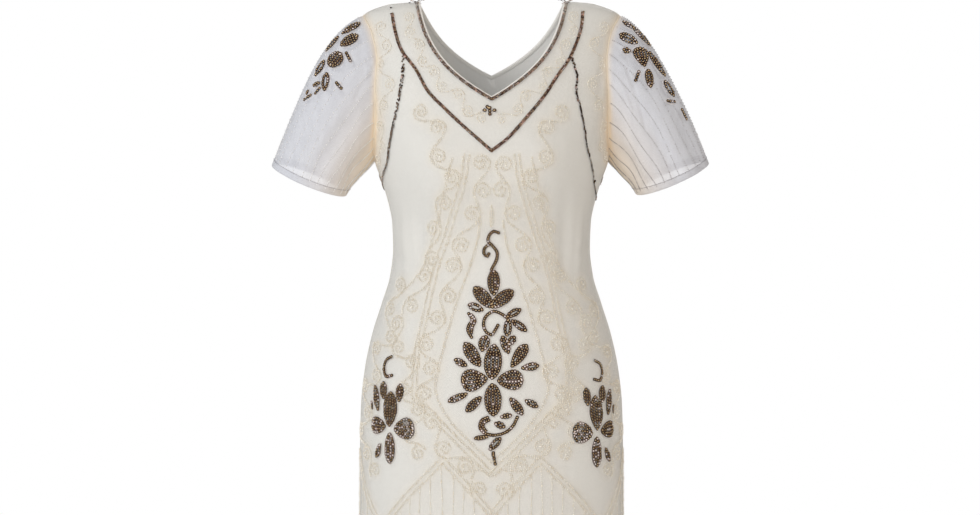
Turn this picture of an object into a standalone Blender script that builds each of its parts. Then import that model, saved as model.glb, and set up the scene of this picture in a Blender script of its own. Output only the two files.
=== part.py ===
"""A short-sleeved evening dress in the style of the 1920s: beaded net over a satin lining.

It keeps the shape of a worn dress, with nobody in it. Metres, +Z up. The origin lies between
the shoulder seams, level with the neck points, where the wearer's shoulders hold the dress.
The front faces -Y, and the wearer's left side is +X.
"""

import math
from collections import namedtuple

import bpy
import numpy as np

FRONT, BACK = 1, -1
LEFT, RIGHT = 1, -1

# Cloth and seams
NET_THICKNESS = 0.0010
LINING_THICKNESS = 0.0010
LAYER_GAP = 0.0005
SEAM_GAP = 0.0003
SEAM_HALF_GAP = 0.00025
BINDING_WIDTH = 0.006
BINDING_THICKNESS = 0.0031
BAND_WIDTH = 0.013
BAND_THICKNESS = 0.0016

# Levels, down from the neck points
HEM_LEVEL = -1.000
LINING_HEM_LEVEL = -0.972
UNDERARM_LEVEL = -0.238
SHOULDER_TIP_LEVEL = -0.020

# The cut of the neck and the armholes
NECK_HALF_WIDTH = 0.1080
SECTION_POWER = 2.2
Neck = namedtuple("Neck", "drop straightness")
NECKS = {FRONT: Neck(drop=0.148, straightness=0.3), BACK: Neck(drop=0.1025, straightness=0.5)}
ARMHOLE_HALF_DEPTH = {FRONT: 0.048, BACK: 0.046}

# A row for each level at which the dress was measured
Section = namedtuple("Section", "level half_width front_depth back_depth")
SECTIONS = (
    Section(level=-1.000, half_width=0.2000, front_depth=0.124, back_depth=0.131),
    Section(level=-0.770, half_width=0.1975, front_depth=0.122, back_depth=0.131),
    Section(level=-0.650, half_width=0.1965, front_depth=0.121, back_depth=0.129),
    Section(level=-0.600, half_width=0.1950, front_depth=0.119, back_depth=0.127),
    Section(level=-0.550, half_width=0.1895, front_depth=0.116, back_depth=0.121),
    Section(level=-0.500, half_width=0.1790, front_depth=0.112, back_depth=0.112),
    Section(level=-0.450, half_width=0.1635, front_depth=0.108, back_depth=0.101),
    Section(level=-0.410, half_width=0.1515, front_depth=0.105, back_depth=0.093),
    Section(level=-0.370, half_width=0.1470, front_depth=0.105, back_depth=0.089),
    Section(level=-0.330, half_width=0.1485, front_depth=0.111, back_depth=0.092),
    Section(level=-0.300, half_width=0.1545, front_depth=0.119, back_depth=0.097),
    Section(level=-0.270, half_width=0.1635, front_depth=0.126, back_depth=0.103),
    Section(level=-0.238, half_width=0.1746, front_depth=0.127, back_depth=0.108),
    Section(level=-0.187, half_width=0.1814, front_depth=0.117, back_depth=0.111),
    Section(level=-0.130, half_width=0.1900, front_depth=0.101, back_depth=0.104),
    Section(level=-0.091, half_width=0.1934, front_depth=0.086, back_depth=0.092),
    Section(level=-0.053, half_width=0.1986, front_depth=0.068, back_depth=0.074),
    Section(level=-0.034, half_width=0.1980, front_depth=0.058, back_depth=0.062),
    Section(level=-0.020, half_width=0.1910, front_depth=0.050, back_depth=0.053),
    Section(level=-0.0045, half_width=0.1550, front_depth=0.039, back_depth=0.041),
    Section(level=0.000, half_width=0.1080, front_depth=0.036, back_depth=0.038),
    Section(level=0.006, half_width=0.0460, front_depth=0.031, back_depth=0.033),
)

# The cups that the bust darts give the front
CUP_ACROSS, CUP_LEVEL = 0.082, -0.256
CUP_HALF_WIDTH, CUP_HALF_HEIGHT = 0.050, 0.055
CUP_DEPTH = 0.010

# The soft flutes of the skirt. Angle is round from the centre line, in degrees, + to the left
Flute = namedtuple("Flute", "angle top_level half_angle depth")
FLUTES = {
    FRONT: (
        Flute(angle=-66, top_level=-0.60, half_angle=13, depth=0.0050),
        Flute(angle=-31, top_level=-0.66, half_angle=12, depth=0.0040),
        Flute(angle=3, top_level=-0.72, half_angle=13, depth=0.0035),
        Flute(angle=36, top_level=-0.64, half_angle=11, depth=0.0045),
        Flute(angle=69, top_level=-0.57, half_angle=12, depth=0.0055),
    ),
    BACK: (
        Flute(angle=-70, top_level=-0.58, half_angle=12, depth=0.0055),
        Flute(angle=-40, top_level=-0.62, half_angle=12, depth=0.0060),
        Flute(angle=-8, top_level=-0.55, half_angle=13, depth=0.0065),
        Flute(angle=27, top_level=-0.60, half_angle=12, depth=0.0060),
        Flute(angle=63, top_level=-0.56, half_angle=13, depth=0.0050),
    ),
}

# Each sleeve: the corners of its opening seen from the front, and how far its cap rounds over
SleeveHang = namedtuple("SleeveHang", "inner outer cap_stretch")
SLEEVE_HANGS = {
    RIGHT: SleeveHang(inner=(0.2175, 0, -0.2900), outer=(0.3285, 0, -0.2450), cap_stretch=0.78),
    LEFT: SleeveHang(inner=(0.2165, 0, -0.2880), outer=(0.3250, 0, -0.2420), cap_stretch=0.65),
}
SLEEVE_OPENING_FRONT = np.array((0.0, -0.0480, -0.0110))
SLEEVE_FORWARD = 0.006
CAP_DIRECTION = np.array((0.95, 0.0, -0.30))
UNDERSIDE_DIRECTION = np.array((0.60, 0.0, -0.80))
UNDERSIDE_STRETCH = 0.83
OPENING_STRETCH = 0.756
SLEEVE_SIDE_FULLNESS = 0.34

# A row for each soft fold of a sleeve. Angle runs round from the underarm over the front, in degrees
SleeveFold = namedtuple("SleeveFold", "angle half_angle start end depth")
SLEEVE_FOLDS = {
    RIGHT: (
        SleeveFold(angle=38, half_angle=17, start=-0.1, end=0.9, depth=-0.0040),
        SleeveFold(angle=84, half_angle=18, start=0.0, end=1.2, depth=-0.0045),
        SleeveFold(angle=128, half_angle=18, start=0.3, end=1.3, depth=-0.0030),
        SleeveFold(angle=236, half_angle=20, start=0.1, end=1.2, depth=-0.0045),
        SleeveFold(angle=292, half_angle=20, start=-0.1, end=1.0, depth=-0.0050),
    ),
    LEFT: (
        SleeveFold(angle=46, half_angle=17, start=-0.1, end=1.0, depth=-0.0045),
        SleeveFold(angle=96, half_angle=18, start=0.1, end=1.3, depth=-0.0040),
        SleeveFold(angle=142, half_angle=18, start=0.3, end=1.3, depth=-0.0025),
        SleeveFold(angle=226, half_angle=20, start=0.0, end=1.1, depth=-0.0050),
        SleeveFold(angle=284, half_angle=20, start=0.0, end=1.1, depth=-0.0045),
    ),
}

# How finely the walls are divided
COLUMNS = 12
SKIRT_ROWS = 14
SKIRT_ROW_EASING = 1.25
ARMHOLE_ROWS = 12
ROWS_BELOW_NECK = {FRONT: 4, BACK: 5}
SLEEVE_ROWS = 9
CURVE_SAMPLES = 300


def smooth_through(levels, values, at):
    """A curve through the points that never overshoots them (monotone cubic)."""
    step = np.diff(levels)
    slope = np.diff(values) / step
    before, after = slope[:-1], slope[1:]
    turning = before * after <= 0
    harmonic = 2 * before * after / np.where(turning, 1, before + after)
    tangent = np.concatenate([slope[:1], np.where(turning, 0, harmonic), slope[-1:]])
    k = np.clip(np.searchsorted(levels, at) - 1, 0, len(step) - 1)
    t = (at - levels[k]) / step[k]
    return (
        values[k] * (1 + 2 * t) * (1 - t) ** 2
        + tangent[k] * step[k] * t * (1 - t) ** 2
        + values[k + 1] * t * t * (3 - 2 * t)
        + tangent[k + 1] * step[k] * t * t * (t - 1)
    )


def section_size(column, level):
    levels = np.array([s.level for s in SECTIONS])
    values = np.array([getattr(s, column) for s in SECTIONS])
    return smooth_through(levels, values, np.asarray(level, float))


def half_width(level):
    return section_size("half_width", level)


def depth(side, level):
    return section_size("front_depth" if side == FRONT else "back_depth", level)


def unit(vectors):
    return vectors / np.linalg.norm(vectors, axis=-1, keepdims=True)


def signed_power(value, power):
    return np.sign(value) * np.abs(value) ** power


def smooth_step(value):
    t = np.clip(value, 0, 1)
    return t * t * (3 - 2 * t)


def soft_ridge(distance, half_size):
    """1 on the ridge's line and 0 from half_size away, with a rounded top and soft feet."""
    return np.cos(np.clip(distance / half_size, -1, 1) * math.pi / 2) ** 2


def flute_height(side, angle, level):
    height = 0
    for flute in FLUTES[side]:
        across = soft_ridge(np.degrees(angle) - flute.angle, flute.half_angle)
        down = smooth_step((flute.top_level - level) / (flute.top_level - HEM_LEVEL))
        height = height + flute.depth * across * down
    return height


def cup_depth(angle, across, level):
    sideways = (np.abs(across) - CUP_ACROSS) / CUP_HALF_WIDTH
    up = (level - CUP_LEVEL) / CUP_HALF_HEIGHT
    return CUP_DEPTH * np.cos(angle) * np.exp(-(sideways**2) - up**2)


def body(side, angle, level):
    """Points of the dress's outer face. Angle is round from the centre line: 90 degrees is the side."""
    angle, level = np.broadcast_arrays(np.asarray(angle, float), np.asarray(level, float))
    wide, deep = half_width(level), depth(side, level)
    x_share = signed_power(np.sin(angle), 2 / SECTION_POWER)
    y_share = signed_power(np.cos(angle), 2 / SECTION_POWER)
    x, y = wide * x_share, deep * y_share
    out_x = signed_power(x_share, SECTION_POWER - 1) / wide
    out_y = signed_power(y_share, SECTION_POWER - 1) / deep
    height = flute_height(side, angle, level) / np.hypot(out_x, out_y)
    x = x + out_x * height
    y = y + out_y * height
    if side == FRONT:
        y = y + cup_depth(angle, x, level)
    return np.stack([x, -side * (y + SEAM_HALF_GAP), level], axis=-1)


def body_normal(side, angle, level):
    """Unit vectors out of the dress, from small steps round and up its face."""
    step_angle, step_level = 0.004, 0.0005
    round_it = body(side, angle + step_angle, level) - body(side, angle - step_angle, level)
    up = body(side, angle, level + step_level) - body(side, angle, level - step_level)
    return unit(np.cross(round_it, up)) * side


def on_section(side, points):
    """How far round its section, and at which level, each point of the dress's left half lies."""
    wide, deep = half_width(points[:, 2]), depth(side, points[:, 2])
    x_share = np.clip(points[:, 0] / wide, 0, 1)
    y_share = np.clip(np.abs(points[:, 1]) / deep, 0, 1)
    return np.arctan2(x_share ** (SECTION_POWER / 2), y_share ** (SECTION_POWER / 2)), points[:, 2]


def evenly(points, count):
    """The line again, as count equal steps."""
    along = np.concatenate([[0], np.cumsum(np.linalg.norm(np.diff(points, axis=0), axis=1))])
    at = np.linspace(0, along[-1], count + 1)
    return np.stack([np.interp(at, along, points[:, k]) for k in range(3)], axis=1)


def neckline(side, inset, count):
    """The left half of a neckline, cut inset inside its edge, from the point of its V: angles, levels."""
    neck = NECKS[side]
    share = np.linspace(1, 0, CURVE_SAMPLES) ** 2
    level = -neck.drop * share
    across = NECK_HALF_WIDTH * (1 - neck.straightness * share - (1 - neck.straightness) * share**3)
    edge = body(side, np.arcsin((across / half_width(level)) ** (SECTION_POWER / 2)), level)
    edge = evenly(edge, count)
    whole = np.vstack([edge[1] * (-1, 1, 1), edge, edge[-2] * (1, -1, 1)])
    chord = np.diff(whole, axis=0)
    normal = body_normal(side, *on_section(side, edge))
    before = unit(np.cross(chord[:-1], normal)) * side
    after = unit(np.cross(chord[1:], normal)) * side
    mitre = unit(before + after)
    inner = edge + inset * mitre / np.sum(mitre * after, axis=1, keepdims=True)
    angle, level = on_section(side, inner)
    angle[0], angle[-1] = 0, math.pi / 2
    return angle, level


def armhole(side, share):
    """The armhole's left edge, an oval from the underarm (share 0) to the shoulder tip (share 1)."""
    middle = (UNDERARM_LEVEL + SHOULDER_TIP_LEVEL) / 2
    half_height = (SHOULDER_TIP_LEVEL - UNDERARM_LEVEL) / 2
    level = middle - half_height * np.cos(math.pi * share)
    y_share = ARMHOLE_HALF_DEPTH[side] * np.sin(math.pi * share) / depth(side, level)
    return np.arccos(np.clip(y_share, 0, 1) ** (SECTION_POWER / 2)), level


def panel_map(side, hem_level):
    """Angles and levels of the left half of a panel: rows from the hem up, columns from the centre out."""
    easing = np.linspace(1, 0, SKIRT_ROWS + 1)[:-1] ** SKIRT_ROW_EASING
    skirt_levels = UNDERARM_LEVEL + (LINING_HEM_LEVEL - UNDERARM_LEVEL) * easing
    if hem_level < LINING_HEM_LEVEL:
        skirt_levels = np.concatenate([[hem_level], skirt_levels])
    outer_angle, outer_level = armhole(side, np.linspace(0, 1, ARMHOLE_ROWS + 1))
    plain = ROWS_BELOW_NECK[side]
    neck_angle, neck_level = neckline(side, BINDING_WIDTH + SEAM_GAP, ARMHOLE_ROWS - plain)
    centre_level = np.linspace(UNDERARM_LEVEL, neck_level[0], plain + 1)[:-1]
    inner_level = np.concatenate([skirt_levels, centre_level, neck_level])
    inner_angle = np.concatenate([np.zeros(len(skirt_levels) + plain), neck_angle])
    outer_level = np.concatenate([skirt_levels, outer_level])
    outer_angle = np.concatenate([np.full(len(skirt_levels), math.pi / 2), outer_angle])
    share = np.linspace(0, 1, COLUMNS + 1)
    angle = inner_angle[:, None] + (outer_angle - inner_angle)[:, None] * share
    level = inner_level[:, None] + (outer_level - inner_level)[:, None] * share
    return angle, level


def grid_faces(rows, columns, ring, flip):
    """Triangles over a grid of points, so that layers of cloth bend alike. A ring closes on itself."""
    across = columns if ring else columns - 1
    faces = []
    for i in range(rows - 1):
        for j in range(across):
            a, b = i * columns + j, i * columns + (j + 1) % columns
            c, d = b + columns, a + columns
            faces += [(c, b, a), (d, c, a)] if flip else [(a, b, c), (a, c, d)]
    return faces


def cloth(name, grids, thickness, finish, collection):
    """A closed wall of cloth, sewn where points meet. Each grid is (points, ways out, ring, flip)."""
    outer, inner, sewn, faces = [], [], {}, []
    for points, out, ring, flip in grids:
        own = []
        for point, way in zip(points.reshape(-1, 3), out.reshape(-1, 3)):
            place = tuple(np.round(point, 6))
            if place not in sewn:
                sewn[place] = len(outer)
                outer.append(tuple(point))
                inner.append(tuple(point - thickness * way))
            own.append(sewn[place])
        faces += [[own[k] for k in face] for face in grid_faces(*points.shape[:2], ring, flip)]
    behind = len(outer)
    sides = {(face[k - 1], face[k]) for face in faces for k in range(3)}
    rims = [(b, a, a + behind, b + behind) for a, b in sorted(sides) if (b, a) not in sides]
    backs = [[k + behind for k in face[::-1]] for face in faces]
    mesh = bpy.data.meshes.new(name)
    mesh.from_pydata(outer + inner, [], faces + backs + rims)
    mesh.shade_smooth()
    mesh.materials.append(finish)
    made = bpy.data.objects.new(name, mesh)
    collection.objects.link(made)
    return made


def panel(name, side, layer_depth, hem_level, thickness, finish, collection):
    """A front or back panel, layer_depth inside the dress's outer face."""
    angle, level = panel_map(side, hem_level)
    grids = []
    for hand in (LEFT, RIGHT):
        out = body_normal(side, hand * angle, level)
        points = body(side, hand * angle, level) - layer_depth * out
        grids.append((points, out, False, hand * side == RIGHT))
    return cloth(name, grids, thickness, finish, collection)


def armhole_ring(hand):
    """The armhole's points, from the underarm up the front and down the back, and the way out of each."""
    share = np.linspace(0, 1, ARMHOLE_ROWS + 1)
    halves = []
    for side in (FRONT, BACK):
        angle, level = armhole(side, share)
        points = body(side, angle, level)
        points[:, 1] *= np.sin(math.pi * share) > 1e-6
        halves.append(points)
    ring = np.vstack([halves[0], halves[1][-2:0:-1]])
    return ring * (hand, 1, 1)


def sleeve_point(hand, start, angle, along):
    """A sleeve's outer face: a smooth sweep from the armhole (along 0) to the opening (along 1)."""
    mirror = np.array((hand, 1, 1))
    hang = SLEEVE_HANGS[hand]
    inner, outer = np.array(hang.inner), np.array(hang.outer)
    middle = (inner + outer) / 2 + (0, -SLEEVE_FORWARD, 0)
    outward = (outer - inner) / 2
    cos_a, sin_a = np.cos(angle)[:, None], np.sin(angle)[:, None]
    end = middle - cos_a * outward + sin_a * SLEEVE_OPENING_FRONT
    reach = np.linalg.norm(end - start * mirror, axis=1, keepdims=True)
    over_top = (1 - cos_a) / 2
    leave = CAP_DIRECTION * over_top + UNDERSIDE_DIRECTION * (1 - over_top)
    leave = leave + sin_a * (0, -SLEEVE_SIDE_FULLNESS, 0)
    stretch = hang.cap_stretch * over_top + UNDERSIDE_STRETCH * (1 - over_top)
    leave = stretch * reach * unit(leave)
    arrive = OPENING_STRETCH * reach * unit(np.cross(outward, SLEEVE_OPENING_FRONT))
    t = along[:, None]
    place = (
        start * mirror * (1 + 2 * t) * (1 - t) ** 2
        + leave * t * (1 - t) ** 2
        + end * t * t * (3 - 2 * t)
        + arrive * t * t * (t - 1)
    )
    height = 0
    for fold in SLEEVE_FOLDS[hand]:
        across = soft_ridge(np.degrees(angle) - fold.angle, fold.half_angle)
        centre, half_length = (fold.start + fold.end) / 2, (fold.end - fold.start) / 2
        height = height + fold.depth * across * soft_ridge(along - centre, half_length)
    out = -cos_a * unit(outward) + sin_a * np.array((0, -1, 0))
    return (place + np.expand_dims(height, -1) * smooth_step(t / 0.2) * out) * mirror


def sleeve_rings(hand, first_along, last_along, rows):
    """Rings down a sleeve, between two distances along it that may differ round the ring."""
    ring = armhole_ring(hand)
    angle = np.linspace(0, 2 * math.pi, len(ring), endpoint=False)
    shares = np.linspace(0, 1, rows + 1)
    return np.stack(
        [sleeve_point(hand, ring, angle, first_along + (last_along - first_along) * s) for s in shares]
    )


def ways_out(rings, turn):
    """Unit vectors out of a tube's face. Turn is 1 or -1, as the rings run round."""
    round_it = np.roll(rings, -1, axis=1) - np.roll(rings, 1, axis=1)
    return unit(np.cross(np.gradient(rings, axis=0), round_it)) * turn


def sleeve(hand, collection, net_finish, band_finish):
    name = "left" if hand == LEFT else "right"
    none = np.zeros(2 * ARMHOLE_ROWS)
    length = np.linalg.norm(np.diff(sleeve_rings(hand, none, none + 1, 20), axis=0), axis=2).sum(axis=0)
    start = SEAM_GAP * 2 / length
    band_start = 1 - BAND_WIDTH / length
    net = sleeve_rings(hand, start, band_start - SEAM_GAP / length, SLEEVE_ROWS)
    band = sleeve_rings(hand, band_start, none + 1, 1)
    flip = hand == LEFT
    net_grid = (net, ways_out(net, hand), True, flip)
    band_grid = (band, ways_out(band, hand), True, flip)
    cloth(f"sleeve_{name}", [net_grid], NET_THICKNESS, net_finish, collection)
    cloth(f"sleeve_band_{name}", [band_grid], BAND_THICKNESS, band_finish, collection)


def neck_binding(collection, finish):
    """A narrow strip folded over the neck edge, mitred at the point of each V."""
    rings, ways = [], []
    for inset in (0, BINDING_WIDTH):
        ring, way = [], []
        for side in (FRONT, BACK):
            angle, level = neckline(side, inset, ARMHOLE_ROWS - ROWS_BELOW_NECK[side])
            across = side * np.concatenate([angle[::-1], -angle[1:-1]])
            down = np.concatenate([level[::-1], level[1:-1]])
            ring.append(body(side, across, down))
            way.append(body_normal(side, across, down))
        rings.append(np.vstack(ring))
        ways.append(np.vstack(way))
    grid = (np.stack(rings), np.stack(ways), True, False)
    cloth("neck_binding", [grid], BINDING_THICKNESS, finish, collection)


def finish_of(name, colour, roughness):
    material = bpy.data.materials.new(name)
    material.use_nodes = True
    shader = material.node_tree.nodes["Principled BSDF"]
    shader.inputs["Base Color"].default_value = (*colour, 1)
    shader.inputs["Roughness"].default_value = roughness
    shader.inputs["Metallic"].default_value = 0
    return material


def main():
    for old in list(bpy.data.objects):
        bpy.data.objects.remove(old)
    collection = bpy.data.collections.new("flapper_dress")
    bpy.context.scene.collection.children.link(collection)
    beaded_net = finish_of("beaded_net", (0.80, 0.74, 0.63), 0.60)
    satin = finish_of("lining_satin", (0.80, 0.79, 0.75), 0.45)
    sheer_net = finish_of("sheer_net", (0.72, 0.72, 0.74), 0.70)
    band_net = finish_of("band_net", (0.76, 0.75, 0.77), 0.70)
    binding = finish_of("binding", (0.82, 0.76, 0.66), 0.55)
    layer_depth = NET_THICKNESS + LAYER_GAP
    for side, name in ((FRONT, "front"), (BACK, "back")):
        panel(f"net_{name}", side, 0, HEM_LEVEL, NET_THICKNESS, beaded_net, collection)
        panel(
            f"lining_{name}", side, layer_depth, LINING_HEM_LEVEL, LINING_THICKNESS, satin, collection
        )
    for hand in (LEFT, RIGHT):
        sleeve(hand, collection, sheer_net, band_net)
    neck_binding(collection, binding)


main()
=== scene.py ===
"""A short-sleeved evening dress in the style of the 1920s: beaded ivory net over a satin lining,
with sheer net sleeves, brown sequin rows and flowers, and cream bead scrolls.
Metres, +Z up. The front faces -Y, and the wearer's left side is +X.
"""

import math
from collections import namedtuple

import bpy
import numpy as np
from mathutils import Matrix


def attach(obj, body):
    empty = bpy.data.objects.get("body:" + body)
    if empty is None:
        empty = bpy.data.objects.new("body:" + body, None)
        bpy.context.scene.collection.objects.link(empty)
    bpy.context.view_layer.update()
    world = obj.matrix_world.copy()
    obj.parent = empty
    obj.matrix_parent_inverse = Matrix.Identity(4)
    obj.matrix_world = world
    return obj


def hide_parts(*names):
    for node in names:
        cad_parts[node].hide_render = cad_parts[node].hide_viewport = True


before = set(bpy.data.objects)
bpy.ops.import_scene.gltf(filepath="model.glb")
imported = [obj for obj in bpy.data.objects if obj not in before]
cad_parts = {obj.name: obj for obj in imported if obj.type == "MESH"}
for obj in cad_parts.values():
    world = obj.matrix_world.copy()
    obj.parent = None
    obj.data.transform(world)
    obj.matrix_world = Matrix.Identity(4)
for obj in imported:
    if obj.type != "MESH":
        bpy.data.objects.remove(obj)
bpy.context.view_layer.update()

# ---------------------------------------------------------------------------
# The lining. Ivory satin, cut as a front and a back to the shape of the worn dress: a V neck,
# round armholes, bust darts, a waist, and a skirt with soft flutes. It hangs just inside the net,
# joined to it at the neck, armholes and side seams, and ends above the net's hem.
# ---------------------------------------------------------------------------
FRONT, BACK = 1, -1
LEFT, RIGHT = 1, -1
HEM_LEVEL, LINING_HEM_LEVEL = -1.000, -0.972
UNDERARM_LEVEL, SHOULDER_TIP_LEVEL = -0.238, -0.020
NECK_HALF_WIDTH = 0.1080
SECTION_POWER = 2.2
SEAM_HALF_GAP = 0.00025
LINING_DEPTH, LINING_THICKNESS = 0.0015, 0.0007
Neck = namedtuple("Neck", "drop straightness")
NECKS = {FRONT: Neck(drop=0.148, straightness=0.3), BACK: Neck(drop=0.1025, straightness=0.5)}
ARMHOLE_HALF_DEPTH = {FRONT: 0.048, BACK: 0.046}

# A row for each level at which the dress was measured
Section = namedtuple("Section", "level half_width front_depth back_depth")
SECTIONS = [Section(*row) for row in (
    (-1.000, 0.2000, 0.124, 0.131),
    (-0.770, 0.1975, 0.122, 0.131),
    (-0.650, 0.1965, 0.121, 0.129),
    (-0.600, 0.1950, 0.119, 0.127),
    (-0.550, 0.1895, 0.116, 0.121),
    (-0.500, 0.1790, 0.112, 0.112),
    (-0.450, 0.1635, 0.108, 0.101),
    (-0.410, 0.1515, 0.105, 0.093),
    (-0.370, 0.1470, 0.105, 0.089),
    (-0.330, 0.1485, 0.111, 0.092),
    (-0.300, 0.1545, 0.119, 0.097),
    (-0.270, 0.1635, 0.126, 0.103),
    (-0.238, 0.1746, 0.127, 0.108),
    (-0.187, 0.1814, 0.117, 0.111),
    (-0.130, 0.1900, 0.101, 0.104),
    (-0.091, 0.1934, 0.086, 0.092),
    (-0.053, 0.1986, 0.068, 0.074),
    (-0.034, 0.1980, 0.058, 0.062),
    (-0.020, 0.1910, 0.050, 0.053),
    (-0.0045, 0.1550, 0.039, 0.041),
    (0.000, 0.1080, 0.036, 0.038),
    (0.006, 0.0460, 0.031, 0.033),
)]

# The cups that the bust darts give the front
CUP_ACROSS, CUP_LEVEL = 0.082, -0.256
CUP_HALF_WIDTH, CUP_HALF_HEIGHT = 0.050, 0.055
CUP_DEPTH = 0.010

# The soft flutes of the skirt. Angle is round from the centre line, in degrees, + to the left
Flute = namedtuple("Flute", "side angle top_level half_angle depth")
FLUTES = [Flute(*row) for row in (
    (FRONT, -66, -0.60, 13, 0.0050),
    (FRONT, -31, -0.66, 12, 0.0040),
    (FRONT, 3, -0.72, 13, 0.0035),
    (FRONT, 36, -0.64, 11, 0.0045),
    (FRONT, 69, -0.57, 12, 0.0055),
    (BACK, -70, -0.58, 12, 0.0055),
    (BACK, -40, -0.62, 12, 0.0060),
    (BACK, -8, -0.55, 13, 0.0065),
    (BACK, 27, -0.60, 12, 0.0060),
    (BACK, 63, -0.56, 13, 0.0050),
)]

# The creases of the worn cloth: where each starts and ends, in metres round from the centre line
# and in level, its half width, and its height, which is negative for a trough
Crease = namedtuple("Crease", "side start end half_width height")
CREASES = [Crease(*row) for row in (
    (FRONT, (-0.118, -0.275), (-0.104, -0.420), 0.017, -0.0026),
    (FRONT, (0.116, -0.268), (0.110, -0.430), 0.018, -0.0028),
    (FRONT, (-0.152, -0.290), (-0.128, -0.455), 0.014, 0.0020),
    (FRONT, (0.150, -0.300), (0.136, -0.445), 0.013, 0.0022),
    (FRONT, (-0.194, -0.368), (-0.115, -0.392), 0.008, -0.0016),
    (FRONT, (-0.196, -0.398), (-0.130, -0.412), 0.007, -0.0012),
    (FRONT, (0.192, -0.352), (0.128, -0.382), 0.008, -0.0018),
    (FRONT, (0.194, -0.386), (0.120, -0.404), 0.008, -0.0014),
    (FRONT, (-0.228, -0.262), (-0.160, -0.236), 0.010, -0.0020),
    (FRONT, (0.226, -0.268), (0.152, -0.232), 0.011, -0.0022),
    (FRONT, (0.222, -0.300), (0.158, -0.262), 0.010, -0.0016),
    (FRONT, (-0.176, -0.060), (-0.168, -0.165), 0.010, -0.0014),
    (FRONT, (0.172, -0.072), (0.166, -0.172), 0.010, -0.0016),
    (FRONT, (-0.046, -0.470), (-0.058, -0.640), 0.020, 0.0014),
    (FRONT, (0.108, -0.480), (0.094, -0.660), 0.019, 0.0018),
    (FRONT, (-0.205, -0.500), (-0.190, -0.700), 0.018, -0.0016),
    (FRONT, (0.208, -0.520), (0.196, -0.740), 0.018, -0.0018),
    (BACK, (-0.062, -0.270), (-0.050, -0.480), 0.016, -0.0030),
    (BACK, (0.058, -0.290), (0.064, -0.500), 0.017, -0.0028),
    (BACK, (0.004, -0.300), (-0.006, -0.450), 0.014, 0.0022),
    (BACK, (-0.110, -0.250), (-0.104, -0.440), 0.013, 0.0022),
    (BACK, (0.112, -0.262), (0.108, -0.452), 0.014, 0.0020),
    (BACK, (-0.182, -0.372), (-0.080, -0.398), 0.009, -0.0020),
    (BACK, (0.178, -0.388), (0.074, -0.402), 0.009, -0.0018),
    (BACK, (-0.150, -0.405), (0.010, -0.428), 0.010, -0.0016),
    (BACK, (-0.208, -0.250), (-0.150, -0.190), 0.011, -0.0020),
    (BACK, (0.206, -0.258), (0.146, -0.200), 0.011, -0.0022),
    (BACK, (0.148, -0.540), (0.150, -0.760), 0.019, -0.0018),
    (BACK, (-0.146, -0.560), (-0.152, -0.800), 0.019, -0.0018),
)]

PanelCut = namedtuple("PanelCut", "hem_level neck_inset skirt_rows plain_rows neck_rows columns")
LINING_CUT = PanelCut(
    hem_level=LINING_HEM_LEVEL, neck_inset=0.003, skirt_rows=64, plain_rows=8, neck_rows=20, columns=40
)


def swept(start, leave, end, arrive, t):
    """A cubic sweep from start (t 0) to end (t 1), by the slopes with which it leaves and arrives."""
    return (
        start * (1 + 2 * t) * (1 - t) ** 2 + leave * t * (1 - t) ** 2
        + end * t * t * (3 - 2 * t) + arrive * t * t * (t - 1)
    )


def smooth_through(levels, values, at):
    """A curve through the points that never overshoots them (monotone cubic)."""
    step = np.diff(levels)
    slope = np.diff(values) / step
    before, after = slope[:-1], slope[1:]
    turning = before * after <= 0
    harmonic = 2 * before * after / np.where(turning, 1, before + after)
    tangent = np.concatenate([slope[:1], np.where(turning, 0, harmonic), slope[-1:]])
    k = np.clip(np.searchsorted(levels, at) - 1, 0, len(step) - 1)
    t = (at - levels[k]) / step[k]
    return swept(values[k], tangent[k] * step[k], values[k + 1], tangent[k + 1] * step[k], t)


def half_width(level):
    """Half the dress's width at a level, by the sections."""
    levels, half_widths, _, _ = np.transpose(SECTIONS)
    return smooth_through(levels, half_widths, np.asarray(level, float))


def depth(side, level):
    """How far the front or the back stands out from the side seams at a level, by the sections."""
    levels, _, front_depths, back_depths = np.transpose(SECTIONS)
    return smooth_through(levels, front_depths if side == FRONT else back_depths, np.asarray(level, float))


def unit(vectors):
    return vectors / np.maximum(np.linalg.norm(vectors, axis=-1, keepdims=True), 1e-12)


def signed_power(value, power):
    return np.sign(value) * np.abs(value) ** power


def smooth_step(value):
    """0 up to 0 and 1 from 1, with an even bend between: three squares less two cubes."""
    t = np.clip(value, 0, 1)
    return t * t * (3 - 2 * t)


def soft_ridge(distance, half_size):
    """1 on the ridge's line and 0 from half_size away, with a rounded top and soft feet."""
    return np.cos(np.clip(distance / half_size, -1, 1) * math.pi / 2) ** 2


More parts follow.
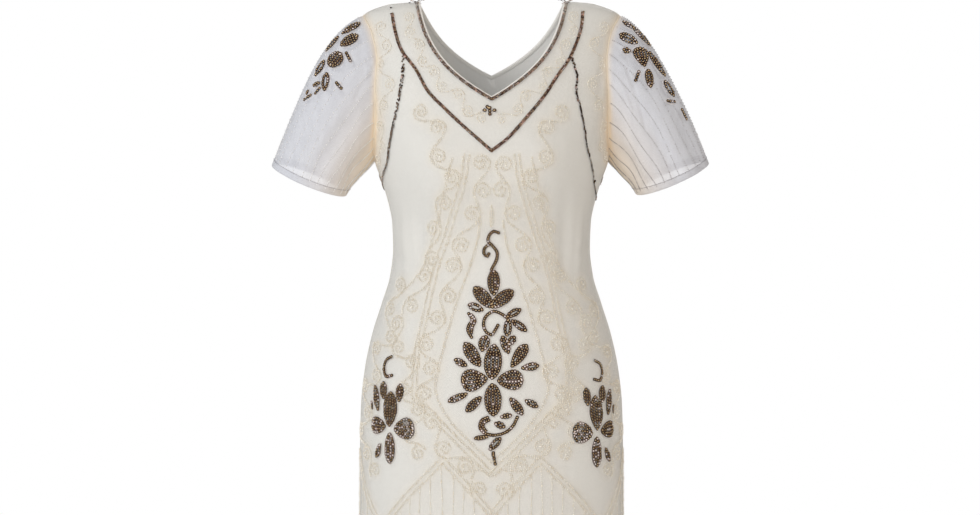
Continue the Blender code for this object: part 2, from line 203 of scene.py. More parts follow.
def body(side, angle, level):
    """The cut shape. Each level is an oval, |x/wide| and |y/deep| to the power 2.2 adding to 1,
    with the skirt's flutes raised along its way out and the bust's cups added to its front."""
    angle, level = np.broadcast_arrays(np.asarray(angle, float), np.asarray(level, float))
    wide, deep = half_width(level), depth(side, level)
    x_share = signed_power(np.sin(angle), 2 / SECTION_POWER)
    y_share = signed_power(np.cos(angle), 2 / SECTION_POWER)
    x, y = wide * x_share, deep * y_share
    out_x = signed_power(x_share, SECTION_POWER - 1) / wide
    out_y = signed_power(y_share, SECTION_POWER - 1) / deep
    height = 0
    for flute in FLUTES:
        if flute.side == side:
            across = soft_ridge(np.degrees(angle) - flute.angle, flute.half_angle)
            down = smooth_step((flute.top_level - level) / (flute.top_level - HEM_LEVEL))
            height = height + flute.depth * across * down
    height = height / np.hypot(out_x, out_y)
    x = x + out_x * height
    y = y + out_y * height
    if side == FRONT:
        sideways = (np.abs(x) - CUP_ACROSS) / CUP_HALF_WIDTH
        up = (level - CUP_LEVEL) / CUP_HALF_HEIGHT
        y = y + CUP_DEPTH * np.cos(angle) * np.exp(-(sideways**2) - up**2)
    return np.stack([x, -side * (y + SEAM_HALF_GAP), level], axis=-1)


def way_out(face, side, angle, level):
    """Unit vectors out of a face of the dress, from small steps round and up it."""
    step_angle, step_level = 0.004, 0.0005
    round_it = face(side, angle + step_angle, level) - face(side, angle - step_angle, level)
    up = face(side, angle, level + step_level) - face(side, angle, level - step_level)
    return unit(np.cross(round_it, up)) * side


TAPE_LEVELS = np.linspace(HEM_LEVEL, 0.006, 253)
TAPE_ANGLES = np.linspace(0, math.pi / 2, 181)


def tape_lengths(side):
    """Lengths round the plain ovals from the centre line: a row a level, a column an angle."""
    level, angle = np.meshgrid(TAPE_LEVELS, TAPE_ANGLES, indexing="ij")
    x = half_width(level) * np.sin(angle) ** (2 / SECTION_POWER)
    y = depth(side, level) * np.abs(np.cos(angle)) ** (2 / SECTION_POWER)
    steps = np.hypot(np.diff(x, axis=1), np.diff(y, axis=1))
    return np.concatenate([np.zeros((len(steps), 1)), np.cumsum(steps, axis=1)], axis=1)


TAPES = {side: tape_lengths(side) for side in (FRONT, BACK)}


def table_value(table, row, column):
    """A value between a table's rows and columns (bilinear)."""
    row = np.clip(row, 0, table.shape[0] - 1.001)
    column = np.clip(column, 0, table.shape[1] - 1.001)
    i, j = row.astype(int), column.astype(int)
    v, u = row - i, column - j
    low = table[i, j] * (1 - u) + table[i, j + 1] * u
    return low * (1 - v) + (table[i + 1, j] * (1 - u) + table[i + 1, j + 1] * u) * v


def around_at(side, angle, level):
    """How far round from the centre line a point lies, by the tape, + to the left."""
    row = (level - HEM_LEVEL) / (TAPE_LEVELS[1] - HEM_LEVEL)
    return np.sign(angle) * table_value(TAPES[side], row, np.abs(angle) / TAPE_ANGLES[1])


def angle_at(side, around, level):
    """The angle of the point that the tape puts that far round from the centre line, at that level."""
    row = np.clip((level - HEM_LEVEL) / (TAPE_LEVELS[1] - HEM_LEVEL), 0, len(TAPE_LEVELS) - 1.001)
    i = row.astype(int)
    v = (row - i)[:, None]
    lengths = TAPES[side][i] * (1 - v) + TAPES[side][i + 1] * v
    reach = np.minimum(np.abs(around), lengths[:, -1] - 1e-6)
    j = np.clip((lengths <= reach[:, None]).sum(axis=1) - 1, 0, lengths.shape[1] - 2)
    k = np.arange(len(j))
    u = (reach - lengths[k, j]) / (lengths[k, j + 1] - lengths[k, j])
    return np.sign(around) * (j + u) * TAPE_ANGLES[1]


def from_line(u, v, start, end):
    """For each point, the share of the way from start to end at which it lies beside their line, and
    its gap to the line."""
    (start_u, start_v), (run_u, run_v) = start, np.subtract(end, start)
    t = np.clip(((u - start_u) * run_u + (v - start_v) * run_v) / (run_u**2 + run_v**2), 0, 1)
    return t, np.hypot(u - start_u - t * run_u, v - start_v - t * run_v)


def crease_height(side, angle, level):
    """Soft ridges and troughs along the creases' lines, over a slight unevenness of slow waves.
    All of it fades out at the side seams, where front and back meet."""
    angle, level = np.broadcast_arrays(np.asarray(angle, float), np.asarray(level, float))
    around = around_at(side, angle, level)
    waves = (
        np.sin(58 * around + 21 * level)
        + np.sin(41 * level - 33 * around + 1.3)
        + np.sin(83 * level + 27 * around + 4.1)
    )
    height = 0.00035 * waves
    for crease in CREASES:
        if crease.side == side:
            t, gap = from_line(around, level, crease.start, crease.end)
            height = height + crease.height * soft_ridge(gap, crease.half_width) * soft_ridge(t - 0.5, 0.6)
    return height * smooth_step((math.pi / 2 - np.abs(angle)) / 0.16)


def worn_face(side, angle, level):
    """The worn dress's outer face: its cut shape, moved by its creases along its way out."""
    height = crease_height(side, angle, level)
    return body(side, angle, level) + height[..., None] * way_out(body, side, angle, level)


def on_dress(side, angle, level, lift=0.0):
    """Points at a height above the worn face, and their ways out."""
    out = way_out(worn_face, side, angle, level)
    return worn_face(side, angle, level) + np.expand_dims(lift, -1) * out, out


def on_section(side, points):
    """How far round its section, and at which level, each point of the dress's left half lies."""
    wide, deep = half_width(points[:, 2]), depth(side, points[:, 2])
    x_share = np.clip(points[:, 0] / wide, 0, 1)
    y_share = np.clip(np.abs(points[:, 1]) / deep, 0, 1)
    return np.arctan2(x_share ** (SECTION_POWER / 2), y_share ** (SECTION_POWER / 2)), points[:, 2]


def evenly(points, count):
    """The line again, as count equal steps."""
    along = np.concatenate([[0], np.cumsum(np.linalg.norm(np.diff(points, axis=0), axis=1))])
    at = np.linspace(0, along[-1], count + 1)
    return np.stack([np.interp(at, along, points[:, k]) for k in range(points.shape[1])], axis=1)


def neckline(side, inset, count):
    """The left half of a neckline, cut inset inside its edge, from the point of its V: angles, levels."""
    neck = NECKS[side]
    share = np.linspace(1, 0, 300) ** 2
    level = -neck.drop * share
    across = NECK_HALF_WIDTH * (1 - neck.straightness * share - (1 - neck.straightness) * share**3)
    edge = body(side, np.arcsin((across / half_width(level)) ** (SECTION_POWER / 2)), level)
    edge = evenly(edge, count)
    whole = np.vstack([edge[1] * (-1, 1, 1), edge, edge[-2] * (1, -1, 1)])
    chord = np.diff(whole, axis=0)
    normal = way_out(body, side, *on_section(side, edge))
    before = unit(np.cross(chord[:-1], normal)) * side
    after = unit(np.cross(chord[1:], normal)) * side
    mitre = unit(before + after)
    inner = edge + inset * mitre / np.sum(mitre * after, axis=1, keepdims=True)
    angle, level = on_section(side, inner)
    angle[0], angle[-1] = 0, math.pi / 2
    return angle, level


def armhole(side, share):
    """The armhole's left edge, an oval from the underarm (share 0) to the shoulder tip (share 1)."""
    middle = (UNDERARM_LEVEL + SHOULDER_TIP_LEVEL) / 2
    half_height = (SHOULDER_TIP_LEVEL - UNDERARM_LEVEL) / 2
    level = middle - half_height * np.cos(math.pi * share)
    y_share = ARMHOLE_HALF_DEPTH[side] * np.sin(math.pi * share) / depth(side, level)
    return np.arccos(np.clip(y_share, 0, 1) ** (SECTION_POWER / 2)), level


def panel_map(side, cut):
    """Angles and levels of the left half of a panel: rows from the hem up, columns from the centre out.
    A row runs straight from the centre line or the neck edge to the side seam or the armhole."""
    skirt_levels = np.linspace(cut.hem_level, UNDERARM_LEVEL, cut.skirt_rows + 1)[:-1]
    outer_angle, outer_level = armhole(side, np.linspace(0, 1, cut.plain_rows + cut.neck_rows + 1))
    neck_angle, neck_level = neckline(side, cut.neck_inset, cut.neck_rows)
    centre_level = np.linspace(UNDERARM_LEVEL, neck_level[0], cut.plain_rows + 1)[:-1]
    inner_level = np.concatenate([skirt_levels, centre_level, neck_level])
    inner_angle = np.concatenate([np.zeros(cut.skirt_rows + cut.plain_rows), neck_angle])
    outer_level = np.concatenate([skirt_levels, outer_level])
    outer_angle = np.concatenate([np.full(cut.skirt_rows, math.pi / 2), outer_angle])
    share = np.linspace(0, 1, cut.columns + 1)
    angle = inner_angle[:, None] + (outer_angle - inner_angle)[:, None] * share
    level = inner_level[:, None] + (outer_level - inner_level)[:, None] * share
    return angle, level


def grid_faces(shape, ring, flip):
    """Four-sided faces over a grid of points, as whole arrays. A ring's last column joins its first."""
    rows, columns = shape
    number = np.arange(rows * columns).reshape(rows, columns)
    if ring:
        number = np.concatenate([number, number[:, :1]], axis=1)
    faces = np.stack([number[:-1, :-1], number[:-1, 1:], number[1:, 1:], number[1:, :-1]], axis=-1)
    faces = faces.reshape(-1, 4)
    return faces[:, ::-1] if flip else faces


def piece_of(name, points, faces, finish, marks=None, smooth=True):
    """A mesh object that rides with the dress. Marks are named values at its points."""
    mesh = bpy.data.meshes.new(name)
    mesh.from_pydata(points.tolist(), [], faces if isinstance(faces, list) else faces.tolist())
    for mark, values in (marks or {}).items():
        kind, key = ("FLOAT", "value") if values.ndim == 1 else ("FLOAT_VECTOR", "vector")
        mesh.attributes.new(mark, kind, "POINT").data.foreach_set(key, values.astype(np.float32).ravel())
    mesh.materials.append(finish)
    if smooth:
        mesh.shade_smooth()
    made = bpy.data.objects.new(name, mesh)
    bpy.context.scene.collection.objects.link(made)
    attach(made, "root")
    return made


def sewn_cloth(name, grids, finish):
    """One sheet from grids of points, sewn where their points meet.
    Each grid is (points, marks, ring, flip), and marks are named values on the same grid."""
    points, faces, marks, first = [], [], {}, 0
    for grid, values, ring, flip in grids:
        points.append(grid.reshape(-1, 3))
        faces.append(grid_faces(grid.shape[:2], ring, flip) + first)
        first += len(points[-1])
        for mark, value in values.items():
            marks.setdefault(mark, []).append(value.reshape(len(points[-1]), -1).squeeze())
    points, faces = np.vstack(points), np.vstack(faces)
    _, kept, sewn = np.unique(np.round(points, 6), axis=0, return_index=True, return_inverse=True)
    marks = {mark: np.concatenate(values)[kept] for mark, values in marks.items()}
    return piece_of(name, points[kept], sewn.ravel()[faces], finish, marks)


def node(tree, kind, inputs=None, **settings):
    """A shader node. Each input is a value, or another node's output to link to it."""
    made = tree.nodes.new(kind)
    for setting, value in settings.items():
        setattr(made, setting, value)
    for socket, value in (inputs or {}).items():
        if isinstance(value, bpy.types.NodeSocket):
            tree.links.new(value, made.inputs[socket])
        else:
            made.inputs[socket].default_value = value
    return made


def new_finish(name, **sockets):
    """A material with a Principled shader, whose plain sockets are set here, and its nodes."""
    material = bpy.data.materials.new(name)
    material.use_nodes = True
    shader = material.node_tree.nodes["Principled BSDF"]
    for socket, value in sockets.items():
        shader.inputs[socket.replace("_", " ")].default_value = value
    return material, material.node_tree


def worked_out(tree, operation, *values, **settings):
    """One step of arithmetic on numbers or other nodes' outputs."""
    return node(tree, "ShaderNodeMath", dict(enumerate(values)), operation=operation, **settings).outputs[0]


def mark_of(tree, mark):
    """A mark's value at each point of a piece. The cloth mark is a place, the others are numbers."""
    kind = "Vector" if mark == "cloth" else "Fac"
    return node(tree, "ShaderNodeAttribute", attribute_name=mark).outputs[kind]


def clouded(tree, place, scale, detail):
    """A soft noise of a scale over a place."""
    return node(tree, "ShaderNodeTexNoise", {"Vector": place, "Scale": scale, "Detail": detail}).outputs[0]


def ranged(tree, value, low, high):
    """A value from 0 to 1, as one from low to high."""
    return node(tree, "ShaderNodeMapRange", {0: value, 3: low, 4: high}).outputs[0]


def raised(tree, strength, distance, height):
    """The normals of a relief."""
    values = {"Strength": strength, "Distance": distance, "Height": height}
    return node(tree, "ShaderNodeBump", values).outputs[0]


def new_group(name, given, found):
    """A shared effect: its group, what comes into it and what goes out. Place is where on the cloth."""
    group = bpy.data.node_groups.new(name, "ShaderNodeTree")
    for names, way in ((("Place", *given), "INPUT"), (found, "OUTPUT")):
        for socket in names:
            kind = "NodeSocketVector" if socket == "Place" else "NodeSocketFloat"
            group.interface.new_socket(socket, in_out=way, socket_type=kind)
    inside, outside = group.nodes.new("NodeGroupInput"), group.nodes.new("NodeGroupOutput")
    return group, inside.outputs, outside.inputs


def from_group(tree, group, *values):
    """What a shared effect gives, for its place and its sizes."""
    made = node(tree, "ShaderNodeGroup", node_tree=group)
    tree.links.new(values[0], made.inputs[0])
    for socket, value in zip(made.inputs[1:], values[1:]):
        socket.default_value = value
    return made.outputs


def weave_group():
    """A woven ground: two crossed sets of fine threads, and slubs that drift through them."""
    group, given, found = new_group("cloth weave", ("Thread spacing",), ("Height", "Slub"))
    rate = worked_out(group, "DIVIDE", math.tau, given["Thread spacing"])
    turned = node(group, "ShaderNodeVectorMath", {0: given["Place"], "Scale": rate}, operation="SCALE")
    parts = node(group, "ShaderNodeSeparateXYZ", {0: turned.outputs[0]}).outputs
    warp, weft = worked_out(group, "SINE", parts["X"]), worked_out(group, "SINE", parts["Y"])
    threads = worked_out(group, "MULTIPLY", warp, weft)
    drawn = node(group, "ShaderNodeMapping", {"Vector": given["Place"], "Scale": (160, 24, 24)}).outputs[0]
    slub = clouded(group, drawn, 1.0, 3.0)
    group.links.new(slub, found["Slub"])
    group.links.new(worked_out(group, "MULTIPLY_ADD", threads, 0.35, slub), found["Height"])
    return group


WEAVE = weave_group()


def mixed(tree, share, first, second):
    """A colour between two, by a share from 0 to 1."""
    colours = [c if isinstance(c, bpy.types.NodeSocket) else (*c, 1) for c in (first, second)]
    return node(tree, "ShaderNodeMix", {0: share, 6: colours[0], 7: colours[1]}, data_type="RGBA").outputs[2]


def finished(material, **sockets):
    """The material, with other nodes' outputs linked to sockets of its shader."""
    tree = material.node_tree
    for socket, value in sockets.items():
        tree.links.new(value, tree.nodes["Principled BSDF"].inputs[socket.replace("_", " ")])
    return material


def woven_finish(name, spacing, light, dark, relief, relief_depth, gloss=None, **sockets):
    """A woven cloth or a twisted cord: its threads as a relief, and its colour and gloss by its slubs."""
    material, tree = new_finish(name, **sockets)
    height, slub = from_group(tree, WEAVE, mark_of(tree, "cloth"), spacing)
    colour = mixed(tree, slub, light, dark)
    if gloss:
        finished(material, Roughness=ranged(tree, slub, *gloss))
    return finished(material, Base_Color=colour, Normal=raised(tree, relief, relief_depth, height))


def panel(name, side, cut, lift, finish, marks_at):
    """A front or back panel, at a height above the worn face. marks_at gives its points' values."""
    angle, level = panel_map(side, cut)
    grids = []
    for hand in (LEFT, RIGHT):
        points, _ = on_dress(side, hand * angle, level, lift)
        around = around_at(side, hand * angle, level)
        grids.append((points, marks_at(side, around, level), False, hand * side == RIGHT))
    return sewn_cloth(name, grids, finish)


def cloth_place(side, around, level):
    """Where a point lies on the flat cloth: metres round, and metres up."""
    return {"cloth": np.stack([around, level, np.zeros_like(level)], axis=-1)}


# Ivory satin: a smooth weave with a soft gloss, a little darker and warmer in its slubs
satin = woven_finish("lining_satin", 0.0007, (0.88, 0.88, 0.865), (0.83, 0.827, 0.807), 0.10, 0.0004,
                     gloss=(0.42, 0.56), Sheen_Weight=0.25, Sheen_Roughness=0.4)
for side, end in ((FRONT, "front"), (BACK, "back")):
    lining = panel(f"satin_{end}", side, LINING_CUT, -LINING_DEPTH, satin, cloth_place)
    wall = lining.modifiers.new("satin", "SOLIDIFY")
    wall.thickness, wall.offset = LINING_THICKNESS, -1
    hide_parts(f"lining_{end}")

# ---------------------------------------------------------------------------
# The bead pattern. It is pricked out on the flat net before the dress is sewn: running scrolls down
# both sides of a plain middle, double lines between them, a zigzag below the hips with straight
# lines under it, and small scrolls round the neck and beside the armholes.
# Places are metres round from the centre line by the tape, + to the left, and metres of level.
# ---------------------------------------------------------------------------
SCROLL_TURNS = 1.55
DOUBLE_GAP = 0.0075

# Running scrolls: the centres of their spirals, a pair a row, on the left half. Beads is how many
# beads lie side by side along them
Scroll = namedtuple("Scroll", "sides radius hand centres beads", defaults=(2,))
SCROLLS = (
    Scroll(sides=(FRONT,), radius=0.0126, hand=1, centres=(
        (0.017, -0.246), (0.012, -0.286), (0.031, -0.320), (0.043, -0.366), (0.060, -0.396),
        (0.064, -0.441), (0.081, -0.472), (0.096, -0.510), (0.088, -0.548), (0.100, -0.582),
        (0.088, -0.622), (0.070, -0.660), (0.040, -0.686), (0.018, -0.722))),
    Scroll(sides=(FRONT,), radius=0.0120, hand=-1, centres=(
        (0.104, -0.172), (0.080, -0.196), (0.078, -0.238), (0.058, -0.268), (0.070, -0.304),
        (0.088, -0.342), (0.088, -0.386), (0.106, -0.412), (0.122, -0.458), (0.148, -0.478),
        (0.140, -0.514), (0.120, -0.538), (0.128, -0.578), (0.108, -0.606), (0.122, -0.640),
        (0.108, -0.668))),
    Scroll(sides=(FRONT, BACK), radius=0.0120, hand=1, centres=(
        (0.146, -0.424), (0.166, -0.462), (0.162, -0.502), (0.190, -0.520), (0.186, -0.556),
        (0.214, -0.576), (0.206, -0.614), (0.228, -0.640), (0.210, -0.674), (0.184, -0.696))),
    Scroll(sides=(FRONT, BACK), radius=0.0090, hand=-1, beads=1, centres=(
        (0.168, -0.040), (0.157, -0.068), (0.170, -0.098), (0.156, -0.128),
        (0.168, -0.160), (0.184, -0.190), (0.182, -0.220), (0.206, -0.236))),
    Scroll(sides=(BACK,), radius=0.0105, hand=1, centres=(
        (0.018, -0.196), (0.034, -0.228), (0.018, -0.262), (0.036, -0.296), (0.024, -0.334),
        (0.044, -0.366), (0.040, -0.408), (0.062, -0.440), (0.062, -0.482), (0.084, -0.514),
        (0.080, -0.556), (0.092, -0.592), (0.070, -0.622), (0.062, -0.656), (0.034, -0.672),
        (0.020, -0.706))),
    Scroll(sides=(BACK,), radius=0.0105, hand=-1, centres=(
        (0.112, -0.132), (0.094, -0.162), (0.104, -0.196), (0.084, -0.226), (0.094, -0.262),
        (0.080, -0.298), (0.092, -0.336), (0.086, -0.374), (0.108, -0.404), (0.106, -0.444),
        (0.130, -0.472), (0.126, -0.512), (0.142, -0.548), (0.124, -0.584), (0.134, -0.622),
        (0.112, -0.650))),
)
YOKE_SCROLLS = {
    FRONT: Scroll(sides=(FRONT,), radius=0.0080, hand=1, beads=1, centres=(
        (0.124, -0.026), (0.121, -0.050), (0.108, -0.072), (0.102, -0.096), (0.084, -0.112),
        (0.072, -0.134), (0.050, -0.148), (0.036, -0.168), (0.013, -0.183))),
    BACK: Scroll(sides=(BACK,), radius=0.0080, hand=1, beads=1, centres=(
        (0.122, -0.024), (0.116, -0.047), (0.098, -0.066), (0.086, -0.088), (0.062, -0.102),
        (0.044, -0.122), (0.014, -0.134))),
}

# Straight and bent lines of beads, on the left half. A double line is two, side by side
BeadLine = namedtuple("BeadLine", "sides double bent places")
ZIGZAG = (
    (0.000, -0.756), (0.036, -0.714), (0.071, -0.677), (0.121, -0.726), (0.172, -0.781), (0.208, -0.726),
    (0.243, -0.672), (0.270, -0.700))
BEAD_LINES = (
    BeadLine(sides=(FRONT, BACK), double=True, bent=False, places=ZIGZAG),
    BeadLine(sides=(FRONT,), double=True, bent=True, places=(
        (0.036, -0.234), (0.043, -0.278), (0.056, -0.319), (0.066, -0.352), (0.080, -0.391),
        (0.090, -0.427), (0.100, -0.473), (0.112, -0.530), (0.115, -0.585))),
    BeadLine(sides=(FRONT,), double=False, bent=True, places=(
        (0.016, -0.330), (0.024, -0.372), (0.040, -0.418), (0.054, -0.458), (0.068, -0.505),
        (0.078, -0.545), (0.082, -0.580), (0.062, -0.618), (0.032, -0.650), (0.000, -0.680))),
    BeadLine(sides=(FRONT,), double=False, bent=False, places=(
        (0.000, -0.308), (0.002, -0.322), (0.000, -0.338))),
    BeadLine(sides=(FRONT, BACK), double=True, bent=False, places=(
        (0.000, -0.698), (0.040, -0.659), (0.115, -0.585))),
    BeadLine(sides=(FRONT,), double=False, bent=True, places=(
        (0.058, -0.240), (0.070, -0.290), (0.086, -0.350), (0.106, -0.400), (0.134, -0.430),
        (0.160, -0.446))),
    BeadLine(sides=(BACK,), double=True, bent=True, places=(
        (0.040, -0.178), (0.052, -0.240), (0.060, -0.310), (0.070, -0.370), (0.086, -0.430),
        (0.104, -0.500), (0.112, -0.540), (0.115, -0.585))),
    BeadLine(sides=(BACK,), double=False, bent=True, places=(
        (0.000, -0.318), (0.010, -0.372), (0.026, -0.428), (0.044, -0.478), (0.060, -0.530),
        (0.062, -0.580), (0.040, -0.626), (0.000, -0.684))),
    BeadLine(sides=(FRONT, BACK), double=False, bent=False, places=(
        (0.000, -0.700), (0.016, -0.690), (0.038, -0.694))),
)

# The straight lines of the skirt: how many on each half, how far apart, and how far below the zigzag
SKIRT_LINES, SKIRT_LINE_SPACING, SKIRT_LINE_DROP = 16, 0.0162, 0.009
NET_HEM_DEPTH = 0.008
Curve = namedtuple("Curve", "places beads eye", defaults=(2, False))


def across_of(ways):
    """Flat directions turned a quarter to the left."""
    return np.stack([-ways[..., 1], ways[..., 0]], axis=-1)


def smooth_line(places, count):
    """A line that passes through the places and bends evenly between them (Catmull-Rom)."""
    places = np.asarray(places, float)
    held = np.vstack([2 * places[0] - places[1], places, 2 * places[-1] - places[-2]])
    at = np.linspace(0, len(places) - 1.000001, count)
    k, t = at.astype(int), (at % 1)[:, None]
    before, start, end, after = held[k], held[k + 1], held[k + 2], held[k + 3]
    return start + 0.5 * t * (
        end - before
        + t * (2 * before - 5 * start + 4 * end - after + t * (3 * (start - end) + after - before))
    )


def side_by_side(places, gap):
    """The line moved sideways by half a gap, both ways."""
    across = across_of(unit(np.gradient(places, axis=0)))
    return [places + across * gap / 2, places - across * gap / 2]


def running_scroll(centres, radius, hand, beads):
    """From each centre a spiral unwinds, its radius growing with the turn, and leaves for the next one.
    The stem swings over between them, so that neighbouring spirals turn opposite ways."""
    ways = unit(np.diff(centres, axis=0))
    ways = np.vstack([ways, ways[-1]])
    hands = hand * (-1.0) ** np.arange(len(centres))
    leave = -hands[:, None] * across_of(ways)
    starts = centres + radius * leave
    t = np.linspace(0, 1, 70)[:, None]
    curves = []
    for centre, out, turn in zip(centres, leave, hands):
        angle = math.atan2(out[1], out[0]) - turn * math.tau * SCROLL_TURNS * (1 - t)
        spiral = centre + radius * (0.14 + 0.86 * t) * np.hstack([np.cos(angle), np.sin(angle)])
        curves.append(Curve(spiral, beads, eye=beads == 2))
    for k in range(len(centres) - 1):
        start, end = starts[k], starts[k + 1]
        pull = 1.15 * np.linalg.norm(end - start)
        curves.append(Curve(swept(start, ways[k] * pull, end, ways[k + 1] * pull, t), beads))
    return curves


def bead_pattern(side):
    """All the lines of cream beads of a front or a back, both halves, on the flat cloth."""
    wander = np.random.default_rng(12 + side)
    curves = []
    for hand in (LEFT, RIGHT):
        for scroll in SCROLLS + (YOKE_SCROLLS[side],):
            if side in scroll.sides:
                centres = np.array(scroll.centres) * (hand, 1)
                centres = centres + wander.normal(0, 0.0011, centres.shape)
                curves += running_scroll(centres, scroll.radius, scroll.hand * hand, scroll.beads)
        for line in BEAD_LINES:
            if side in line.sides:
                places = np.array(line.places) * (hand, 1)
                drawn = smooth_line(places, 160) if line.bent else evenly(places, 200)
                pair = side_by_side(drawn, DOUBLE_GAP) if line.double else [drawn]
                curves += [Curve(one) for one in pair]
        for place in np.arange(0.5, SKIRT_LINES) * SKIRT_LINE_SPACING:
            top = np.interp(place, *np.transpose(ZIGZAG)) - SKIRT_LINE_DROP
            levels = np.linspace(top, HEM_LEVEL + NET_HEM_DEPTH + 0.004, 120)
            sway = 0.0012 * np.sin(31 * levels + 90 * place)
            curves.append(Curve(np.stack([hand * place + sway, levels], axis=1), beads=1))
    edge = np.linspace(-0.262, 0.262, 400)
    curves.append(Curve(np.stack([edge, np.full_like(edge, HEM_LEVEL + NET_HEM_DEPTH)], axis=1)))
    return curves


PATTERNS = {side: bead_pattern(side) for side in (FRONT, BACK)}
CELL = 0.003
PATTERN_AROUND = np.arange(-0.285, 0.2851, CELL)
PATTERN_LEVELS = np.arange(-1.02, 0.0351, CELL)


def thickness_of_work(side):
    """How thickly the beadwork lies, on a flat map: the lines' lengths in each cell, spread softly."""
    places = np.vstack([evenly(curve.places, 150) for curve in PATTERNS[side]])
    steps = [
        curve.beads / 2 * np.linalg.norm(np.diff(curve.places, axis=0), axis=1).sum() / 150
        for curve in PATTERNS[side]
    ]
    weights = np.repeat(steps, 151)
    laid, _, _ = np.histogram2d(*places.T, bins=(PATTERN_AROUND, PATTERN_LEVELS), weights=weights)
    spread = np.exp(-np.linspace(-2.2, 2.2, 13) ** 2)
    for axis in (0, 1):
        laid = np.apply_along_axis(np.convolve, axis, laid, spread / spread.sum(), "same")
    return laid / CELL


WORK_MAPS = {side: thickness_of_work(side) for side in (FRONT, BACK)}


def worked_at(side, around, level):
    """0 on plain net and 1 in close beadwork."""
    i = np.clip(((around - PATTERN_AROUND[0]) / CELL).astype(int), 0, len(PATTERN_AROUND) - 2)
    j = np.clip(((level - PATTERN_LEVELS[0]) / CELL).astype(int), 0, len(PATTERN_LEVELS) - 2)
    return 1 - np.exp(-2.2 * WORK_MAPS[side][i, j])


# ---------------------------------------------------------------------------
# The net. Fine ivory net in a front and a back over the lining, tinted cream by the threads and
# beads worked on it, and warmer where its seam allowances lie double at the armholes.
# ---------------------------------------------------------------------------
NET_CUT = PanelCut(
    hem_level=HEM_LEVEL, neck_inset=0.003, skirt_rows=112, plain_rows=14, neck_rows=32, columns=68
)


def net_group():
    """Fine net: where its threads run, from cells of a given size on the flat cloth."""
    group, given, found = new_group("net threads", ("Cell size", "Thread share"), ("Threads",))
    rate = worked_out(group, "DIVIDE", 1.0, given["Cell size"])
    cells = node(
        group, "ShaderNodeTexVoronoi", {"Vector": given["Place"], "Scale": rate, "Randomness": 0.35},
        voronoi_dimensions="2D", feature="DISTANCE_TO_EDGE",
    ).outputs["Distance"]
    thread = node(
        group, "ShaderNodeMapRange", {0: cells, 1: 0.0, 2: given["Thread share"], 3: 1.0, 4: 0.0},
        interpolation_type="SMOOTHSTEP",
    ).outputs[0]
    group.links.new(thread, found["Threads"])
    return group


NET = net_group()


def beaded_net_finish():
    """Ivory net: see-through between its threads, closer and creamer where it is worked."""
    material, tree = new_finish("beaded_net", Roughness=0.62, Sheen_Weight=0.2)
    place, worked, seam = mark_of(tree, "cloth"), mark_of(tree, "worked"), mark_of(tree, "seam")
    threads = from_group(tree, NET, place, 0.0013, 0.22)[0]
    mottle = clouded(tree, place, 130.0, 4.0)
    ground = mixed(tree, mottle, (0.80, 0.80, 0.78), (0.77, 0.765, 0.74))
    cream = mixed(tree, mottle, (0.82, 0.785, 0.715), (0.77, 0.725, 0.645))
    warm = mixed(tree, seam, mixed(tree, worked, ground, cream), (0.84, 0.69, 0.50))
    closeness = worked_out(tree, "MULTIPLY_ADD", worked, 0.40, 0.30)
    closer = worked_out(tree, "MULTIPLY_ADD", seam, 0.4, closeness)
    cover = worked_out(tree, "MULTIPLY_ADD", threads, 0.62, closer, use_clamp=True)
    return finished(material, Base_Color=warm, Alpha=cover, Normal=raised(tree, 0.25, 0.0006, mottle))


def edge_distance(side, around, level):
    """About how far each point lies from the armhole's edge, from the nearest of its points."""
    angle, edge_level = armhole(side, np.linspace(0, 1, 60))
    edge_around = around_at(side, angle, edge_level)
    gaps = np.hypot(np.abs(around)[..., None] - edge_around, level[..., None] - edge_level)
    return gaps.min(axis=-1)


def net_marks(side, around, level):
    """The net's place on the flat cloth, how thickly it is worked, and how near its armhole seam."""
    gap = edge_distance(side, around, level)
    low = smooth_step((-0.10 - level) / 0.12)
    seam = np.exp(-((gap / 0.009) ** 2)) * 0.55 + low * np.exp(-((gap / 0.024) ** 2)) * 0.65
    return {
        **cloth_place(side, around, level),
        "worked": worked_at(side, around, level),
        "seam": np.clip(seam, 0, 1),
    }


beaded_net = beaded_net_finish()
for side, end in ((FRONT, "front"), (BACK, "back")):
    net = panel(f"beaded_net_{end}", side, NET_CUT, 0.0, beaded_net, net_marks)
    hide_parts(f"net_{end}")

# ---------------------------------------------------------------------------
# The neck binding. A narrow bias strip of cream satin folded over the raw edges of net and lining,
# mitred at the point of each V and stitched down along both its edges.
# ---------------------------------------------------------------------------
# The fold's section, from its outer edge over the neck to its inner edge: in from the neck, and up
BINDING_FOLD = np.array((
    (0.0060, 0.0000), (0.0057, 0.0005), (0.0045, 0.0008), (0.0028, 0.0009), (0.0013, 0.0007),
    (0.0003, 0.0000), (0.0000, -0.0014), (0.0003, -0.0028), (0.0013, -0.0035), (0.0030, -0.0036),
    (0.0048, -0.0035), (0.0058, -0.0030),
))
BINDING_STEPS = 72


def neck_ring(inset, lift):
    """A line all round the neck, inset inside its edge and lifted off the cloth."""
    ring = []
    for side in (FRONT, BACK):
        angle, level = neckline(side, inset, BINDING_STEPS)
        across = side * np.concatenate([angle[::-1], -angle[1:-1]])
        down = np.concatenate([level[::-1], level[1:-1]])
        ring.append(on_dress(side, across, down, lift)[0])
    return np.vstack(ring)


rings = np.stack([neck_ring(inset, lift) for inset, lift in BINDING_FOLD[::-1]])
along = np.cumsum(np.linalg.norm(rings - np.roll(rings, 1, axis=1), axis=2), axis=1)
deep = np.broadcast_to(np.arange(len(rings))[:, None] * 0.0015, along.shape)
